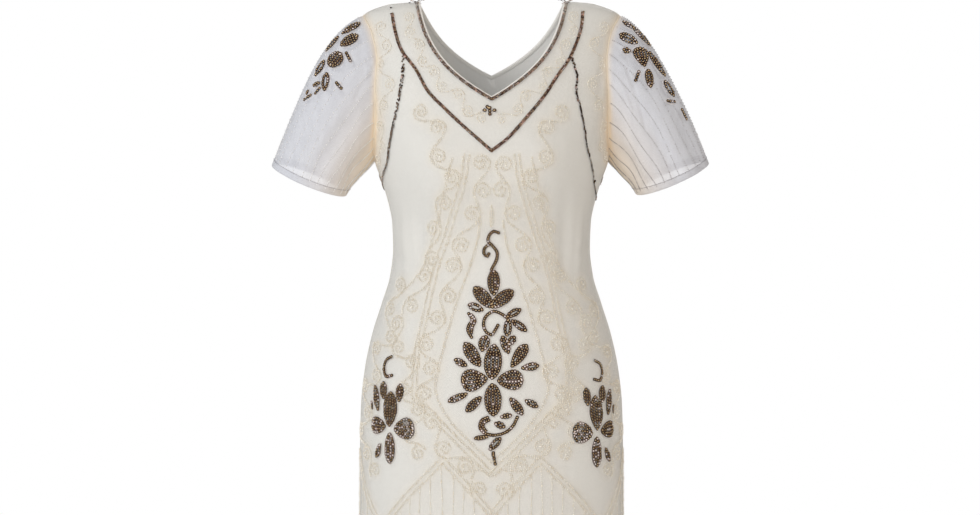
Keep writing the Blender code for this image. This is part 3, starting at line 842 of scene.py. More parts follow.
# Cream satin, cut on the cross, so that its weave runs slantwise
slant = {"cloth": np.stack([along + deep, deep - along, np.zeros_like(along)], axis=-1) * 0.7}
bias_satin = woven_finish("binding", 0.0008, (0.88, 0.87, 0.84), (0.84, 0.825, 0.79), 0.3, 0.0004,
                          gloss=(0.48, 0.62), Sheen_Weight=0.2)
binding = sewn_cloth("bias_binding", [(rings, slant, True, False)], bias_satin)
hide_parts("neck_binding")

# ---------------------------------------------------------------------------
# The seams and hems. Narrow cords of net and satin lie in the side and shoulder seams, a rolled
# edge finishes the net's hem, and a firm cream cord covers each armhole where the sleeve is set in.
# ---------------------------------------------------------------------------
SEAM_CORD, ARMHOLE_CORD = 0.0009, 0.0010
HEM_ROLL, LINING_ROLL = 0.0017, 0.0012


def cord_grid(path, ups, across, up, sides):
    """A cord's skin: an oval carried along a path, its height turned to the ups."""
    ahead = unit(np.gradient(path, axis=0))
    right = unit(np.cross(ahead, ups))
    rise = np.cross(right, ahead)
    turn = np.linspace(0, math.tau, sides, endpoint=False)[None, :, None]
    return path[:, None] + across * np.cos(turn) * right[:, None] + up * np.sin(turn) * rise[:, None]


def cord_piece(name, runs, sides, finish):
    """Cords in one mesh. Each run is (path, ups, across, up, closed); an open one has flat ends."""
    points, faces, first, marks = [], [], 0, []
    for path, ups, across, up, closed in runs:
        if closed:
            path, ups = np.vstack([path[-1:], path, path[:1]]), np.vstack([ups[-1:], ups, ups[:1]])
        skin = cord_grid(path, ups, across, up, sides)
        skin = skin[1:-1] if closed else skin
        rows = len(skin)
        number = np.arange(rows * sides).reshape(rows, sides)
        number = np.vstack([number, number[:1]]) if closed else number
        here, there = number, np.roll(number, -1, axis=1)
        quads = np.stack([here[:-1], here[1:], there[1:], there[:-1]], axis=-1).reshape(-1, 4)
        faces += (quads + first).tolist()
        if not closed:
            faces += [(number[0] + first).tolist(), (number[-1][::-1] + first).tolist()]
        reach = np.arange(rows)[:, None] * np.linalg.norm(path[2] - path[1]) + np.zeros((1, sides))
        girth = np.zeros((rows, 1)) + np.linspace(0, math.tau * across, sides)
        marks.append(np.stack([reach, girth, np.zeros_like(reach)], axis=-1).reshape(-1, 3))
        points.append(skin.reshape(-1, 3))
        first += rows * sides
    return piece_of(name, np.vstack(points), faces, finish, {"cloth": np.vstack(marks)})


def cord_finish(name, light, dark, roughness):
    """A twisted cord: threads round it as a relief, and its colour mixed by its slubs."""
    return woven_finish(name, 0.0016, light, dark, 0.5, 0.0005, Roughness=roughness)


ivory_cord = cord_finish("ivory_cord", (0.80, 0.775, 0.70), (0.72, 0.68, 0.585), 0.6)
cream_cord = cord_finish("cream_cord", (0.80, 0.73, 0.62), (0.74, 0.64, 0.50), 0.6)
side_levels = np.linspace(HEM_LEVEL + 0.001, UNDERARM_LEVEL - 0.001, 160)
shoulder_levels = np.linspace(SHOULDER_TIP_LEVEL, -0.0012, 40)
seams = []
for hand in (LEFT, RIGHT):
    for levels in (side_levels, shoulder_levels):
        path, ups = on_dress(FRONT, hand * math.pi / 2, levels)
        seams.append((path * (1, 0, 1), ups, SEAM_CORD * 1.3, SEAM_CORD * 0.7, False))
cord_piece("seam_cords", seams, 6, ivory_cord)

hem_angles = np.linspace(-math.pi / 2, math.pi / 2, 240)
hems = []
for side in (FRONT, BACK):
    path, ups = on_dress(side, hem_angles, HEM_LEVEL + HEM_ROLL)
    hems.append((path, ups, HEM_ROLL, HEM_ROLL * 0.55, False))
    path, ups = on_dress(side, hem_angles, LINING_HEM_LEVEL + LINING_ROLL, -LINING_DEPTH - LINING_ROLL / 2)
    hems.append((path, ups, LINING_ROLL, LINING_THICKNESS, False))
cord_piece("hem_rolls", hems, 8, ivory_cord)

# ---------------------------------------------------------------------------
# The sleeves. One piece of sheer white net each, set into the armhole and hanging as if over an
# arm, with small puckers where the cap is eased in. The hem is turned up twice into a narrow band.
# ---------------------------------------------------------------------------
SleeveHang = namedtuple("SleeveHang", "inner outer cap_stretch")
SLEEVE_HANGS = {
    RIGHT: SleeveHang(inner=(0.2175, 0, -0.2900), outer=(0.3285, 0, -0.2450), cap_stretch=0.78),
    LEFT: SleeveHang(inner=(0.2165, 0, -0.2880), outer=(0.3250, 0, -0.2420), cap_stretch=0.65),
}
SLEEVE_OPENING_FRONT = np.array((0.0, -0.0480, -0.0110))
SLEEVE_FORWARD = 0.006
CAP_DIRECTION = np.array((0.95, 0.0, -0.30))
UNDERSIDE_DIRECTION = np.array((0.60, 0.0, -0.80))
UNDERSIDE_STRETCH = 0.83
OPENING_STRETCH = 0.756
SLEEVE_SIDE_FULLNESS = 0.34
SLEEVE_GRID = (74, 132)

# The turned-up band's section, from its top down the outside and up the inside: the share of its
# width down, and the lift. Then how many stitches hold it, and how many points draw each
BAND_WIDTH = 0.013
BAND_FOLD = np.array((
    (0.0, 0.0002), (0.3, 0.0006), (0.7, 0.0007), (0.94, 0.0006), (1.0, 0.0), (0.94, -0.0006),
    (0.7, -0.0007), (0.3, -0.0006), (0.0, -0.0003),
))
BAND_STITCHES, STITCH_STEPS, STITCH_CORD, STITCH_LIFT = 112, 4, 0.00028, 0.0009

# A row for each soft fold. Angle runs round from the underarm over the front, in degrees
SleeveFold = namedtuple("SleeveFold", "hand angle half_angle start end depth")
SLEEVE_FOLDS = [SleeveFold(*row) for row in (
    (RIGHT, 38, 17, -0.1, 0.9, -0.0040),
    (RIGHT, 84, 18, 0.0, 1.2, -0.0045),
    (RIGHT, 128, 18, 0.3, 1.3, -0.0030),
    (RIGHT, 236, 20, 0.1, 1.2, -0.0045),
    (RIGHT, 292, 20, -0.1, 1.0, -0.0050),
    (LEFT, 46, 17, -0.1, 1.0, -0.0045),
    (LEFT, 96, 18, 0.1, 1.3, -0.0040),
    (LEFT, 142, 18, 0.3, 1.3, -0.0025),
    (LEFT, 226, 20, 0.0, 1.1, -0.0050),
    (LEFT, 284, 20, 0.0, 1.1, -0.0045),
)]

# The puckers of the eased cap: metres in front of the sleeve's top line, and metres down from its seam
Pucker = namedtuple("Pucker", "hand start end half_width height")
PUCKERS = [Pucker(*row) for row in (
    (RIGHT, (0.070, 0.004), (0.086, 0.022), 0.0032, 0.0016),
    (RIGHT, (0.078, 0.002), (0.096, 0.020), 0.0034, 0.0018),
    (RIGHT, (0.088, 0.002), (0.104, 0.018), 0.0032, 0.0016),
    (RIGHT, (0.096, 0.003), (0.112, 0.020), 0.0036, 0.0014),
    (RIGHT, (0.060, 0.006), (0.074, 0.030), 0.0040, -0.0012),
    (RIGHT, (0.112, 0.006), (0.126, 0.040), 0.0050, -0.0016),
    (RIGHT, (-0.080, 0.003), (-0.094, 0.026), 0.0036, 0.0016),
    (RIGHT, (-0.098, 0.002), (-0.110, 0.024), 0.0036, 0.0015),
    (LEFT, (0.074, 0.004), (0.082, 0.036), 0.0040, 0.0020),
    (LEFT, (0.084, 0.003), (0.098, 0.044), 0.0042, 0.0022),
    (LEFT, (0.096, 0.002), (0.106, 0.034), 0.0036, 0.0020),
    (LEFT, (0.104, 0.004), (0.128, 0.050), 0.0046, 0.0022),
    (LEFT, (0.118, 0.002), (0.134, 0.030), 0.0040, 0.0018),
    (LEFT, (0.090, 0.040), (0.112, 0.086), 0.0056, -0.0018),
    (LEFT, (-0.078, 0.003), (-0.092, 0.030), 0.0038, 0.0018),
    (LEFT, (-0.096, 0.003), (-0.104, 0.028), 0.0036, 0.0016),
    (LEFT, (-0.112, 0.004), (-0.128, 0.034), 0.0042, 0.0018),
)]


def armhole_loop(hand):
    """The armhole's points, from the underarm up the front, over the shoulder and down the back."""
    front, back = (
        worn_face(side, hand * angle, level)
        for side in (FRONT, BACK) for angle, level in [armhole(side, np.linspace(0, 1, 181))]
    )
    loop = np.vstack([front, back[-2::-1]])
    loop[[0, 180, 360], 1] = 0
    return loop


ARMHOLE_LOOPS = {hand: armhole_loop(hand) for hand in (LEFT, RIGHT)}


def armhole_edge(hand, angle):
    """A point of the armhole. Angle runs round from the underarm up the front and down the back."""
    turn, turns = np.mod(angle, math.tau), np.linspace(0, math.tau, 361)
    return np.stack([np.interp(turn, turns, line) for line in ARMHOLE_LOOPS[hand].T], axis=-1)


def hung_sleeve(hand, angle, along):
    """A smooth sweep from the armhole (along 0) to the oval opening (along 1), which leaves the cap
    outwards and the underarm downwards, arrives square to the opening, and is pressed in by folds."""
    mirror = np.array((hand, 1, 1))
    hang = SLEEVE_HANGS[hand]
    angle, along = np.broadcast_arrays(angle, along)
    start = armhole_edge(hand, angle) * mirror
    inner, outer = np.array(hang.inner), np.array(hang.outer)
    middle = (inner + outer) / 2 + (0, -SLEEVE_FORWARD, 0)
    outward = (outer - inner) / 2
    cos_a, sin_a = np.cos(angle)[..., None], np.sin(angle)[..., None]
    end = middle - cos_a * outward + sin_a * SLEEVE_OPENING_FRONT
    reach = np.linalg.norm(end - start, axis=-1, keepdims=True)
    over_top = (1 - cos_a) / 2
    leave = CAP_DIRECTION * over_top + UNDERSIDE_DIRECTION * (1 - over_top)
    leave = leave + sin_a * (0, -SLEEVE_SIDE_FULLNESS, 0)
    stretch = hang.cap_stretch * over_top + UNDERSIDE_STRETCH * (1 - over_top)
    leave = stretch * reach * unit(leave)
    arrive = OPENING_STRETCH * reach * unit(np.cross(outward, SLEEVE_OPENING_FRONT))
    t = along[..., None]
    place = swept(start, leave, end, arrive, t)
    height = 0
    for fold in SLEEVE_FOLDS:
        if fold.hand == hand:
            across = soft_ridge(np.degrees(np.mod(angle, math.tau)) - fold.angle, fold.half_angle)
            centre, half_length = (fold.start + fold.end) / 2, (fold.end - fold.start) / 2
            height = height + fold.depth * across * soft_ridge(along - centre, half_length)
    out = -cos_a * unit(outward) + sin_a * np.array((0, -1, 0))
    return (place + height[..., None] * smooth_step(t / 0.2) * out) * mirror


SLEEVE_ALONGS = np.linspace(0, 1, 61)
SLEEVE_ANGLES = np.linspace(0, math.tau, 241)


def sleeve_tape(hand):
    """Lengths on the hung sleeve: round it from its top line, + to the front, and down it from its seam."""
    grid = hung_sleeve(hand, SLEEVE_ANGLES[None, :], SLEEVE_ALONGS[:, None])
    steps = np.linalg.norm(np.diff(grid, axis=1), axis=2)
    round_it = np.concatenate([np.zeros((len(grid), 1)), np.cumsum(steps, axis=1)], axis=1)
    down_steps = np.linalg.norm(np.diff(grid, axis=0), axis=2)
    down = np.concatenate([np.zeros((1, grid.shape[1])), np.cumsum(down_steps, axis=0)])
    top = len(SLEEVE_ANGLES) // 2
    return round_it[:, top : top + 1] - round_it, down


SLEEVE_TAPES = {hand: sleeve_tape(hand) for hand in (LEFT, RIGHT)}


def on_flat_sleeve(hand, angle, along):
    """Where a point lies on the sleeve's cloth: metres in front of the top line, metres down."""
    angle, along = np.broadcast_arrays(np.mod(angle, math.tau), along)
    row, column = along / SLEEVE_ALONGS[1], angle / SLEEVE_ANGLES[1]
    return tuple(table_value(table, row, column) for table in SLEEVE_TAPES[hand])


def sleeve_face(hand, angle, along):
    """The worn sleeve: the hung shape, with its puckers and a slight unevenness along its way out."""
    angle, along = np.broadcast_arrays(np.asarray(angle, float), np.asarray(along, float))
    around, down = on_flat_sleeve(hand, angle, along)
    height = 0.0005 * np.sin(64 * around + 9 * down) * np.sin(31 * down + 1.1 * hand)
    for pucker in PUCKERS:
        if pucker.hand == hand:
            _, gap = from_line(around, down, pucker.start, pucker.end)
            height = height + pucker.height * soft_ridge(gap, pucker.half_width)
    height = height * smooth_step(along / 0.03) * smooth_step((1 - along) / 0.12)
    out = sleeve_way_out(hung_sleeve, hand, angle, along)
    return hung_sleeve(hand, angle, along) + height[..., None] * out


def sleeve_way_out(face, hand, angle, along):
    """Unit vectors out of a sleeve's face, from small steps round and down it."""
    along = np.clip(along, 0.012, 0.988)
    round_it = face(hand, angle + 0.02, along) - face(hand, angle - 0.02, along)
    down = face(hand, angle, along + 0.01) - face(hand, angle, along - 0.01)
    return unit(np.cross(round_it, down)) * -hand


def on_sleeve(hand, angle, along, lift=0.0):
    """Points at a height above the worn sleeve, and their ways out."""
    out = sleeve_way_out(sleeve_face, hand, angle, along)
    return sleeve_face(hand, angle, along) + np.expand_dims(lift, -1) * out, out


def sheer_net_finish(name, cover, closeness):
    """Sheer white net, cooler than the dress, and warm where it lies double at the armhole seam."""
    material, tree = new_finish(name, Roughness=0.6, Sheen_Weight=0.3)
    place, seam = mark_of(tree, "cloth"), mark_of(tree, "seam")
    threads = from_group(tree, NET, place, 0.0012, 0.20)[0]
    ground = mixed(tree, clouded(tree, place, 60.0, 3.0), (0.70, 0.725, 0.795), (0.58, 0.60, 0.67))
    warm = mixed(tree, seam, ground, (0.82, 0.69, 0.53))
    closer = worked_out(tree, "MULTIPLY_ADD", seam, 0.45, closeness)
    share = worked_out(tree, "MULTIPLY_ADD", threads, cover, closer, use_clamp=True)
    return finished(material, Base_Color=warm, Alpha=share)


def sleeve_marks(hand, angle, along):
    """The net's place on the flat sleeve, and how near the seam and the underarm it lies."""
    angle, along = np.broadcast_arrays(angle, along)
    around, down = on_flat_sleeve(hand, angle, along)
    under = (1 + np.cos(angle)) / 2
    seam = np.exp(-((down / 0.007) ** 2)) * 0.6 + under**3 * (1.1 - 0.4 * along)
    return {**cloth_place(None, around, down), "seam": np.clip(seam, 0, 1)}


def sleeve_tube(name, hand, angles, alongs, lifts, finish):
    """A sleeve's net or band: a row of points round the sleeve for each row of shares along and lifts."""
    angles, alongs = np.broadcast_arrays(angles, alongs)
    points, _ = on_sleeve(hand, angles, alongs, lifts)
    return sewn_cloth(name, [(points, sleeve_marks(hand, angles, alongs), True, hand == LEFT)], finish)


sheer_net = sheer_net_finish("sheer_net", 0.50, 0.56)
band_net = sheer_net_finish("band_net", 0.45, 0.62)
stitch_cotton = cord_finish("stitch_cotton", (0.30, 0.28, 0.29), (0.20, 0.18, 0.19), 0.7)
SLEEVE_NAMES = {LEFT: "left", RIGHT: "right"}
round_band = np.linspace(0, math.tau, SLEEVE_GRID[1], endpoint=False)
armhole_cords = []
for hand in (LEFT, RIGHT):
    lengths = SLEEVE_TAPES[hand][1]
    length = table_value(lengths, np.full_like(round_band, len(lengths) - 1.0), round_band / SLEEVE_ANGLES[1])
    top_of_band = 1 - BAND_WIDTH / length
    alongs = top_of_band * np.linspace(0, 1, SLEEVE_GRID[0])[:, None]
    net = sleeve_tube(
        f"net_sleeve_{SLEEVE_NAMES[hand]}", hand, round_band, alongs, 0.0, sheer_net
    )
    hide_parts(f"sleeve_{SLEEVE_NAMES[hand]}")
    alongs, lifts = top_of_band + (1 - top_of_band) * BAND_FOLD[:, :1], BAND_FOLD[:, 1:]
    band = sleeve_tube(
        f"turned_band_{SLEEVE_NAMES[hand]}", hand, round_band, alongs, lifts, band_net
    )
    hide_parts(f"sleeve_band_{SLEEVE_NAMES[hand]}")
    round_it = np.linspace(0, math.tau, 200, endpoint=False)
    ups = sleeve_way_out(hung_sleeve, hand, round_it, np.full_like(round_it, 0.012))
    armhole_cords.append((armhole_edge(hand, round_it), ups, ARMHOLE_CORD, ARMHOLE_CORD, True))
    round_it = np.linspace(0, math.tau, STITCH_STEPS * BAND_STITCHES + 1)
    top = np.interp(round_it, np.append(round_band, math.tau), np.append(top_of_band, top_of_band[0]))
    points, outs = on_sleeve(hand, round_it, top, STITCH_LIFT)
    stitches = [
        (points[k : k + STITCH_STEPS], outs[k : k + STITCH_STEPS], STITCH_CORD, STITCH_CORD, False)
        for k in range(0, STITCH_STEPS * BAND_STITCHES, STITCH_STEPS)
    ]
    cord_piece(f"band_stitches_{SLEEVE_NAMES[hand]}", stitches, 4, stitch_cotton)
cord_piece("armhole_cords", armhole_cords, 8, cream_cord)

# ---------------------------------------------------------------------------
# The sequin rows. Pairs of overlapping brown sequins, many of them held by a small bead: a row on
# the neck binding, a row that drops in a V from the shoulders, and a row under each arm. Each sequin
# is a cupped disc of film, stitched so that it leans on the next.
# ---------------------------------------------------------------------------
ROW_SEQUIN, ROW_PITCH, ROW_GAP = 0.0028, 0.0023, 0.0024
SINGLE_SEQUIN, SINGLE_PITCH = 0.0038, 0.0032
ROW_BEAD = 0.0016

# Half rows, from the shoulder or the underarm: metres round from the centre line, and level
SequinRow = namedtuple("SequinRow", "side underarm double places")
SEQUIN_ROWS = (
    SequinRow(side=FRONT, underarm=False, double=True, places=(
        (-0.1490, -0.021), (-0.1440, -0.048), (-0.1340, -0.078), (-0.1120, -0.108),
        (-0.0940, -0.140), (-0.0690, -0.166), (-0.0430, -0.191), (0.0000, -0.229))),
    SequinRow(side=FRONT, underarm=False, double=True, places=(
        (0.1360, -0.019), (0.1320, -0.049), (0.1165, -0.089), (0.0980, -0.116),
        (0.0770, -0.148), (0.0500, -0.181), (0.0240, -0.210), (0.0000, -0.229))),
    SequinRow(side=FRONT, underarm=True, double=True, places=(
        (-0.1320, -0.088), (-0.1330, -0.117), (-0.1400, -0.151), (-0.1510, -0.184), (-0.1645, -0.222),
        (-0.1790, -0.251), (-0.2260, -0.280))),
    SequinRow(side=FRONT, underarm=True, double=False, places=(
        (0.1200, -0.091), (0.1280, -0.117), (0.1265, -0.141), (0.1340, -0.163), (0.1430, -0.197),
        (0.1520, -0.230), (0.1830, -0.276), (0.2200, -0.296))),
    SequinRow(side=BACK, underarm=False, double=True, places=(
        (-0.1440, -0.022), (-0.1360, -0.044), (-0.1200, -0.068), (-0.0990, -0.092),
        (-0.0740, -0.116), (-0.0460, -0.140), (0.0000, -0.172))),
    SequinRow(side=BACK, underarm=False, double=True, places=(
        (0.1375, -0.020), (0.1320, -0.044), (0.1170, -0.070), (0.0970, -0.093),
        (0.0730, -0.117), (0.0450, -0.141), (0.0000, -0.172))),
    SequinRow(side=BACK, underarm=True, double=True, places=(
        (-0.1340, -0.092), (-0.1350, -0.120), (-0.1420, -0.154), (-0.1540, -0.190), (-0.1720, -0.228),
        (-0.2220, -0.268))),
    SequinRow(side=BACK, underarm=True, double=True, places=(
        (0.1280, -0.092), (0.1310, -0.120), (0.1380, -0.154), (0.1500, -0.190), (0.1700, -0.230),
        (0.2200, -0.272))),
)
ROW_LIFT, NECK_ROW_INSET, NECK_ROW_LIFT = 0.0005, 0.0050, 0.0014
SEQUIN_LIFT, ROW_BEAD_LIFT = 0.0004, 0.0007
ROW_LEAN, ROW_LEAN_WANDER = 0.30, 0.16
BUST_LEVEL = -0.19

# The knots of thread that finish some rows on the front: metres round, level, and size
KNOT_LIFT = 0.0016
KNOTS = np.array((
    (0.1800, -0.2700, 0.0050), (-0.1510, -0.0120, 0.0036), (-0.1200, -0.0050, 0.0032),
    (0.1120, -0.0045, 0.0030),
))

# The way along the flat cloth that round beads are turned to
SIDEWAYS = np.array((1.0, 0.0))


def tipped_ring(sides, rim=0.0, tips=(0.5, -0.5)):
    """A small closed form, one unit across: a ring, and a tip over and under its middle. The ring
    and the tips stand at the heights given."""
    turn, k = np.arange(sides) * math.tau / sides, np.arange(sides)
    ring = np.stack([np.cos(turn) / 2, np.sin(turn) / 2, np.full(sides, rim)], axis=1)
    on, tip = (k + 1) % sides, np.full(sides, sides)
    faces = np.vstack([np.stack([k, on, tip], axis=1), np.stack([on, k, tip + 1], axis=1)])
    return np.vstack([ring, [(0, 0, height) for height in tips]]), faces


def round_bead():
    """A ball of twenty faces, one unit across: a point at each pole, and two rings of five."""
    turn, k = np.arange(5) * math.tau / 5, np.arange(5)
    high, low = 1 / math.sqrt(20), 1 / math.sqrt(5)
    upper, lower = (
        np.stack([low * np.cos(turns), low * np.sin(turns), np.full(5, height)], axis=1)
        for turns, height in ((turn, high), (turn + math.pi / 5, -high))
    )
    points = np.vstack([[(0, 0, 0.5)], upper, lower, [(0, 0, -0.5)]])
    up, next_up, down, next_down = 1 + k, 1 + (k + 1) % 5, 6 + k, 6 + (k + 1) % 5
    faces = [
        (np.zeros(5, int), up, next_up), (up, down, next_up),
        (down, next_down, next_up), (np.full(5, 11), next_down, down),
    ]
    return points, np.vstack([np.stack(three, axis=1) for three in faces])


def dress_cloth(side):
    """A rule that puts places on the flat cloth of a side onto the worn dress."""
    return lambda places, lift: on_dress(side, angle_at(side, places[:, 0], places[:, 1]), places[:, 1], lift)


def frames_on(cloth, places, ways, lift):
    """Where small things sewn at places on a cloth sit: their points, the ways along them, and out."""
    points, outs = cloth(places, lift)
    ahead, _ = cloth(places + 0.0006 * ways, lift)
    alongs = ahead - points
    alongs = unit(alongs - np.sum(alongs * outs, axis=1, keepdims=True) * outs)
    return points, alongs, outs


def leaning(frames, lean, wander, luck):
    """The frames tipped forwards by an angle, each also a little at random both ways."""
    points, alongs, outs = frames
    across = np.cross(outs, alongs)
    tip = lean + luck.normal(0, wander, (len(points), 1))
    roll = luck.normal(0, wander, (len(points), 1))
    outs = unit(outs + np.sin(tip) * alongs + np.sin(roll) * across)
    alongs = unit(alongs - np.sum(alongs * outs, axis=1, keepdims=True) * outs)
    return points, alongs, outs


def set_out(name, form, frames, sizes, finish, slot="beaded_net", smooth=True, **marks):
    """Copies of a small form in one mesh, one on each frame. Sizes are its lengths along, across and
    out, and marks hold a value for each copy."""
    form_points, form_faces = form
    points, alongs, outs = frames
    across = np.cross(outs, alongs)
    sizes = np.broadcast_to(sizes, (len(points), 3))
    shaped = form_points[None] * sizes[:, None]
    whole = points[:, None] + shaped[..., 0:1] * alongs[:, None]
    whole = whole + shaped[..., 1:2] * across[:, None] + shaped[..., 2:3] * outs[:, None]
    faces = form_faces[None] + np.arange(len(points))[:, None, None] * len(form_points)
    spread = {mark: np.repeat(values, len(form_points)) for mark, values in marks.items()}
    piece_of(name, whole.reshape(-1, 3), faces.reshape(-1, 3), finish, spread, smooth)


def on_top(frames, lift):
    """The frames moved out by a lift."""
    points, alongs, outs = frames
    return points + lift * outs, alongs, outs


def stepped(places, pitch):
    """Places along a line at about a pitch, and the ways along it."""
    length = np.linalg.norm(np.diff(places, axis=0), axis=1).sum()
    spots = evenly(places, max(2, round(length / pitch)))
    return spots, unit(np.gradient(spots, axis=0))


def joined_frames(parts):
    return tuple(np.vstack(values) for values in zip(*parts))


def sequin_finish():
    """Brown sequin film: dark and glossy, lighter by its tone, and rosy by its blush, which is partly a rosy
    tint of the film and partly painted glints.
    """
    material, tree = new_finish("brown_sequin", Specular_IOR_Level=0.10)
    brown = mixed(tree, mark_of(tree, "tone"), (0.012, 0.006, 0.004), (0.19, 0.088, 0.060))
    colour = mixed(tree, mark_of(tree, "blush"), brown, (0.62, 0.38, 0.32))
    wear = clouded(tree, node(tree, "ShaderNodeTexCoord").outputs["Object"], 900.0, 2.0)
    return finished(material, Base_Color=colour, Roughness=ranged(tree, wear, 0.20, 0.42))


def bead_finish(name, light, dark, roughness):
    """Glass beads, lighter and darker by their tone, with a mottled lustre, and some of them pale pink by
    their blush, which is partly their own colour and partly painted glints.
    """
    material, tree = new_finish(name, Roughness=roughness, Coat_Weight=0.4)
    lustre = clouded(tree, node(tree, "ShaderNodeTexCoord").outputs["Object"], 700.0, 2.0)
    share = worked_out(tree, "MULTIPLY_ADD", lustre, 0.5, mark_of(tree, "tone"))
    share = worked_out(tree, "SUBTRACT", share, 0.25, use_clamp=True)
    plain = mixed(tree, share, dark, light)
    return finished(material, Base_Color=mixed(tree, mark_of(tree, "blush"), plain, (0.95, 0.87, 0.85)))


brown_sequin = sequin_finish()
tan_bead = bead_finish("tan_bead", (0.92, 0.70, 0.42), (0.40, 0.24, 0.12), 0.15)
disc = tipped_ring(8, rim=0.10, tips=(0.0, -0.07))
seed, small_bead, ball = tipped_ring(4), tipped_ring(5), round_bead()
luck = np.random.default_rng(31)
worked_rows = []
for row in SEQUIN_ROWS:
    line = evenly(smooth_line(row.places, 200), 400)
    worked_rows.append((row.side, line, ROW_LIFT, row.double, row.underarm))
for side in (FRONT, BACK):
    angle, level = neckline(side, NECK_ROW_INSET, 160)
    around = around_at(side, angle, level)
    for hand in (LEFT, RIGHT):
        line = np.stack([hand * around, level], axis=1)[: -4 if side == FRONT else -16]
        worked_rows.append((side, line, NECK_ROW_LIFT, True, False))
row_frames, bead_frames, row_sizes, row_places, brown_places = [], [], [], [], {FRONT: [], BACK: []}
for side, line, lift, double, underarm in worked_rows:
    size, pitch = (ROW_SEQUIN, ROW_PITCH) if double else (SINGLE_SEQUIN, SINGLE_PITCH)
    for one in side_by_side(line, ROW_GAP) if double else [line]:
        spots, ways = stepped(one, pitch)
        # The double rows under the arms are thin above the bust
        kept = (luck.uniform(0, 1, len(spots)) > 0.25 * (underarm and double)) | (spots[:, 1] < BUST_LEVEL)
        spots, ways = spots[kept], ways[kept]
        spots = spots + luck.normal(0, 0.0004 if underarm else 0.0001, spots.shape)
        frames = frames_on(dress_cloth(side), spots, ways, lift + SEQUIN_LIFT)
        row_frames.append(leaning(frames, ROW_LEAN, ROW_LEAN_WANDER, luck))
        bead_frames.append(on_top(frames, ROW_BEAD_LIFT))
        row_sizes.append(np.full(len(spots), size))
        row_places.append(np.hstack([spots, np.full((len(spots), 1), float(underarm))]))
        brown_places[side].append(spots)
row_places = np.vstack(row_places)
# The rows under the arms are made darker, their sequins and their beads alike: painted shade under the arms
count, shaded_underarm_row = len(row_places), row_places[:, 2]
sizes = (np.concatenate(row_sizes) * (1 + luck.normal(0, 0.05, count)))[:, None]
# The rare rosy sequins of the rows are partly painted glints
set_out("sequin_rows", disc, joined_frames(row_frames), sizes, brown_sequin, smooth=False,
        tone=luck.uniform(0, 0.65, count) * (1 - 0.8 * shaded_underarm_row), blush=luck.uniform(0, 1, count) ** 12 * 0.9)
# The pale beads among the brown ones are partly pale pink glass and partly painted glints: they come in
# stretches, and most under the arms
stretch = (0.5 + 0.5 * np.sin(row_places[:, :2] @ (73, 58))) ** 2
kept = luck.uniform(0, 1, count) < 0.5
pale_and_glinting = luck.uniform(0, 1, count) < 0.03 + 0.30 * stretch + 0.35 * shaded_underarm_row * (row_places[:, 1] > BUST_LEVEL)
bead_frames = tuple(part[kept] for part in joined_frames(bead_frames))
set_out("row_beads", seed, bead_frames, ROW_BEAD, tan_bead,
        tone=luck.uniform(0, 0.7, kept.sum()) * (1 - 0.7 * shaded_underarm_row[kept]), blush=pale_and_glinting[kept] * 1.0)
knot_frames = frames_on(dress_cloth(FRONT), KNOTS[:, :2], SIDEWAYS, KNOT_LIFT)
set_out("thread_knots", ball, knot_frames, KNOTS[:, 2:] * (1.0, 0.8, 0.6), brown_sequin,
        tone=np.zeros(len(KNOTS)))

# ---------------------------------------------------------------------------
# The sequin flowers. Lines of brown sequins fill long petals, each held by a tan or pale bead, the pale
# ones partly painted glints: a tall spray in the middle of the front, one on each hip front and back,
# and one over the top of each sleeve.
# A thin line of cream seed beads edges every petal.
# ---------------------------------------------------------------------------
PETAL_SEQUIN, PETAL_PITCH, PETAL_ROW, PETAL_LIFT = 0.0053, 0.0042, 0.0049, 0.0009
PETAL_LEAN, PETAL_LEAN_WANDER = 0.22, 0.15
STITCH_BEAD, STITCH_BEAD_LIFT = 0.0023, 0.0008
EDGE_BEAD, EDGE_PITCH, EDGE_LIFT = 0.0016, 0.0019, 0.0004
STROKE_PITCH, STROKE_WIDTH = 3.6, 5.6

# Petals in millimetres from the middle of their spray, right and up. Turn is in degrees, + to the
# left from upright. Point is 1 for a round petal and more for a pointed one. Blush is its share of
# rosy sequins, which carry larger pale pink beads that are partly painted glints, and taper is how
# much fuller it is towards its tip
Petal = namedtuple("Petal", "right up turn length width point blush taper", defaults=(1.35, 0.08, 0.15))
TALL_SPRAY = (
    Petal(2, 27.5, -4, 52, 27, 1.35, 0.08, -0.05), Petal(2, -27.5, 182, 48, 26, 1.2, 0.08, 0),
    Petal(-25, 1, 96, 39, 31, 1.0, 0.35, 0.45), Petal(27, 1, -88, 38, 29, 1.0, 0.30, 0.35),
    Petal(-28, 38, 33, 42, 20), Petal(40, 36, -35, 41, 18, 1.3, 0.10, 0.35),
    Petal(-45, 26, 62, 21, 11, 1.3, 0.35), Petal(56, 20, -82, 27, 12, 1.3, 0.30, 0.4),
    Petal(-11, 54, -16, 25, 17), Petal(20, 52, 20, 28, 14, 1.3, 0.25),
    Petal(29, 58, -35, 17, 12, 1.3, 0.35), Petal(-49, -24.5, 113, 31, 11, 1.3, 0.25),
    Petal(-26, -34, 134, 31, 14, 1.2), Petal(36, -37, -143, 31, 14, 1.3, 0.30),
    Petal(58, -33, -118, 22, 11, 1.3, 0.40), Petal(3, 142, 0, 38, 19, 1.2),
    Petal(-11.5, 120.5, 43, 42, 20, 1.2), Petal(15, 118.5, -53, 42, 20, 1.2),
    Petal(-23, 106, 68, 24, 13, 1.2, 0.35), Petal(32, 98, -62, 25, 12), Petal(40, 80, -126, 28, 12),
    Petal(23.5, 77, 175, 27, 13), Petal(12, -64, -112, 17, 11, 1.2), Petal(21, -51, -80, 17, 9, 1.2, 0.35),
    Petal(-15, -82, 98, 21, 8, 1.1), Petal(5, -91, -42, 25, 12, 1.2, 0.15),
    Petal(2.5, -106, 0, 9, 5, 1.0, 0.5), Petal(4.5, -116, 10, 13, 7, 1.2, 0.2),
)
Stroke = namedtuple("Stroke", "blush places")
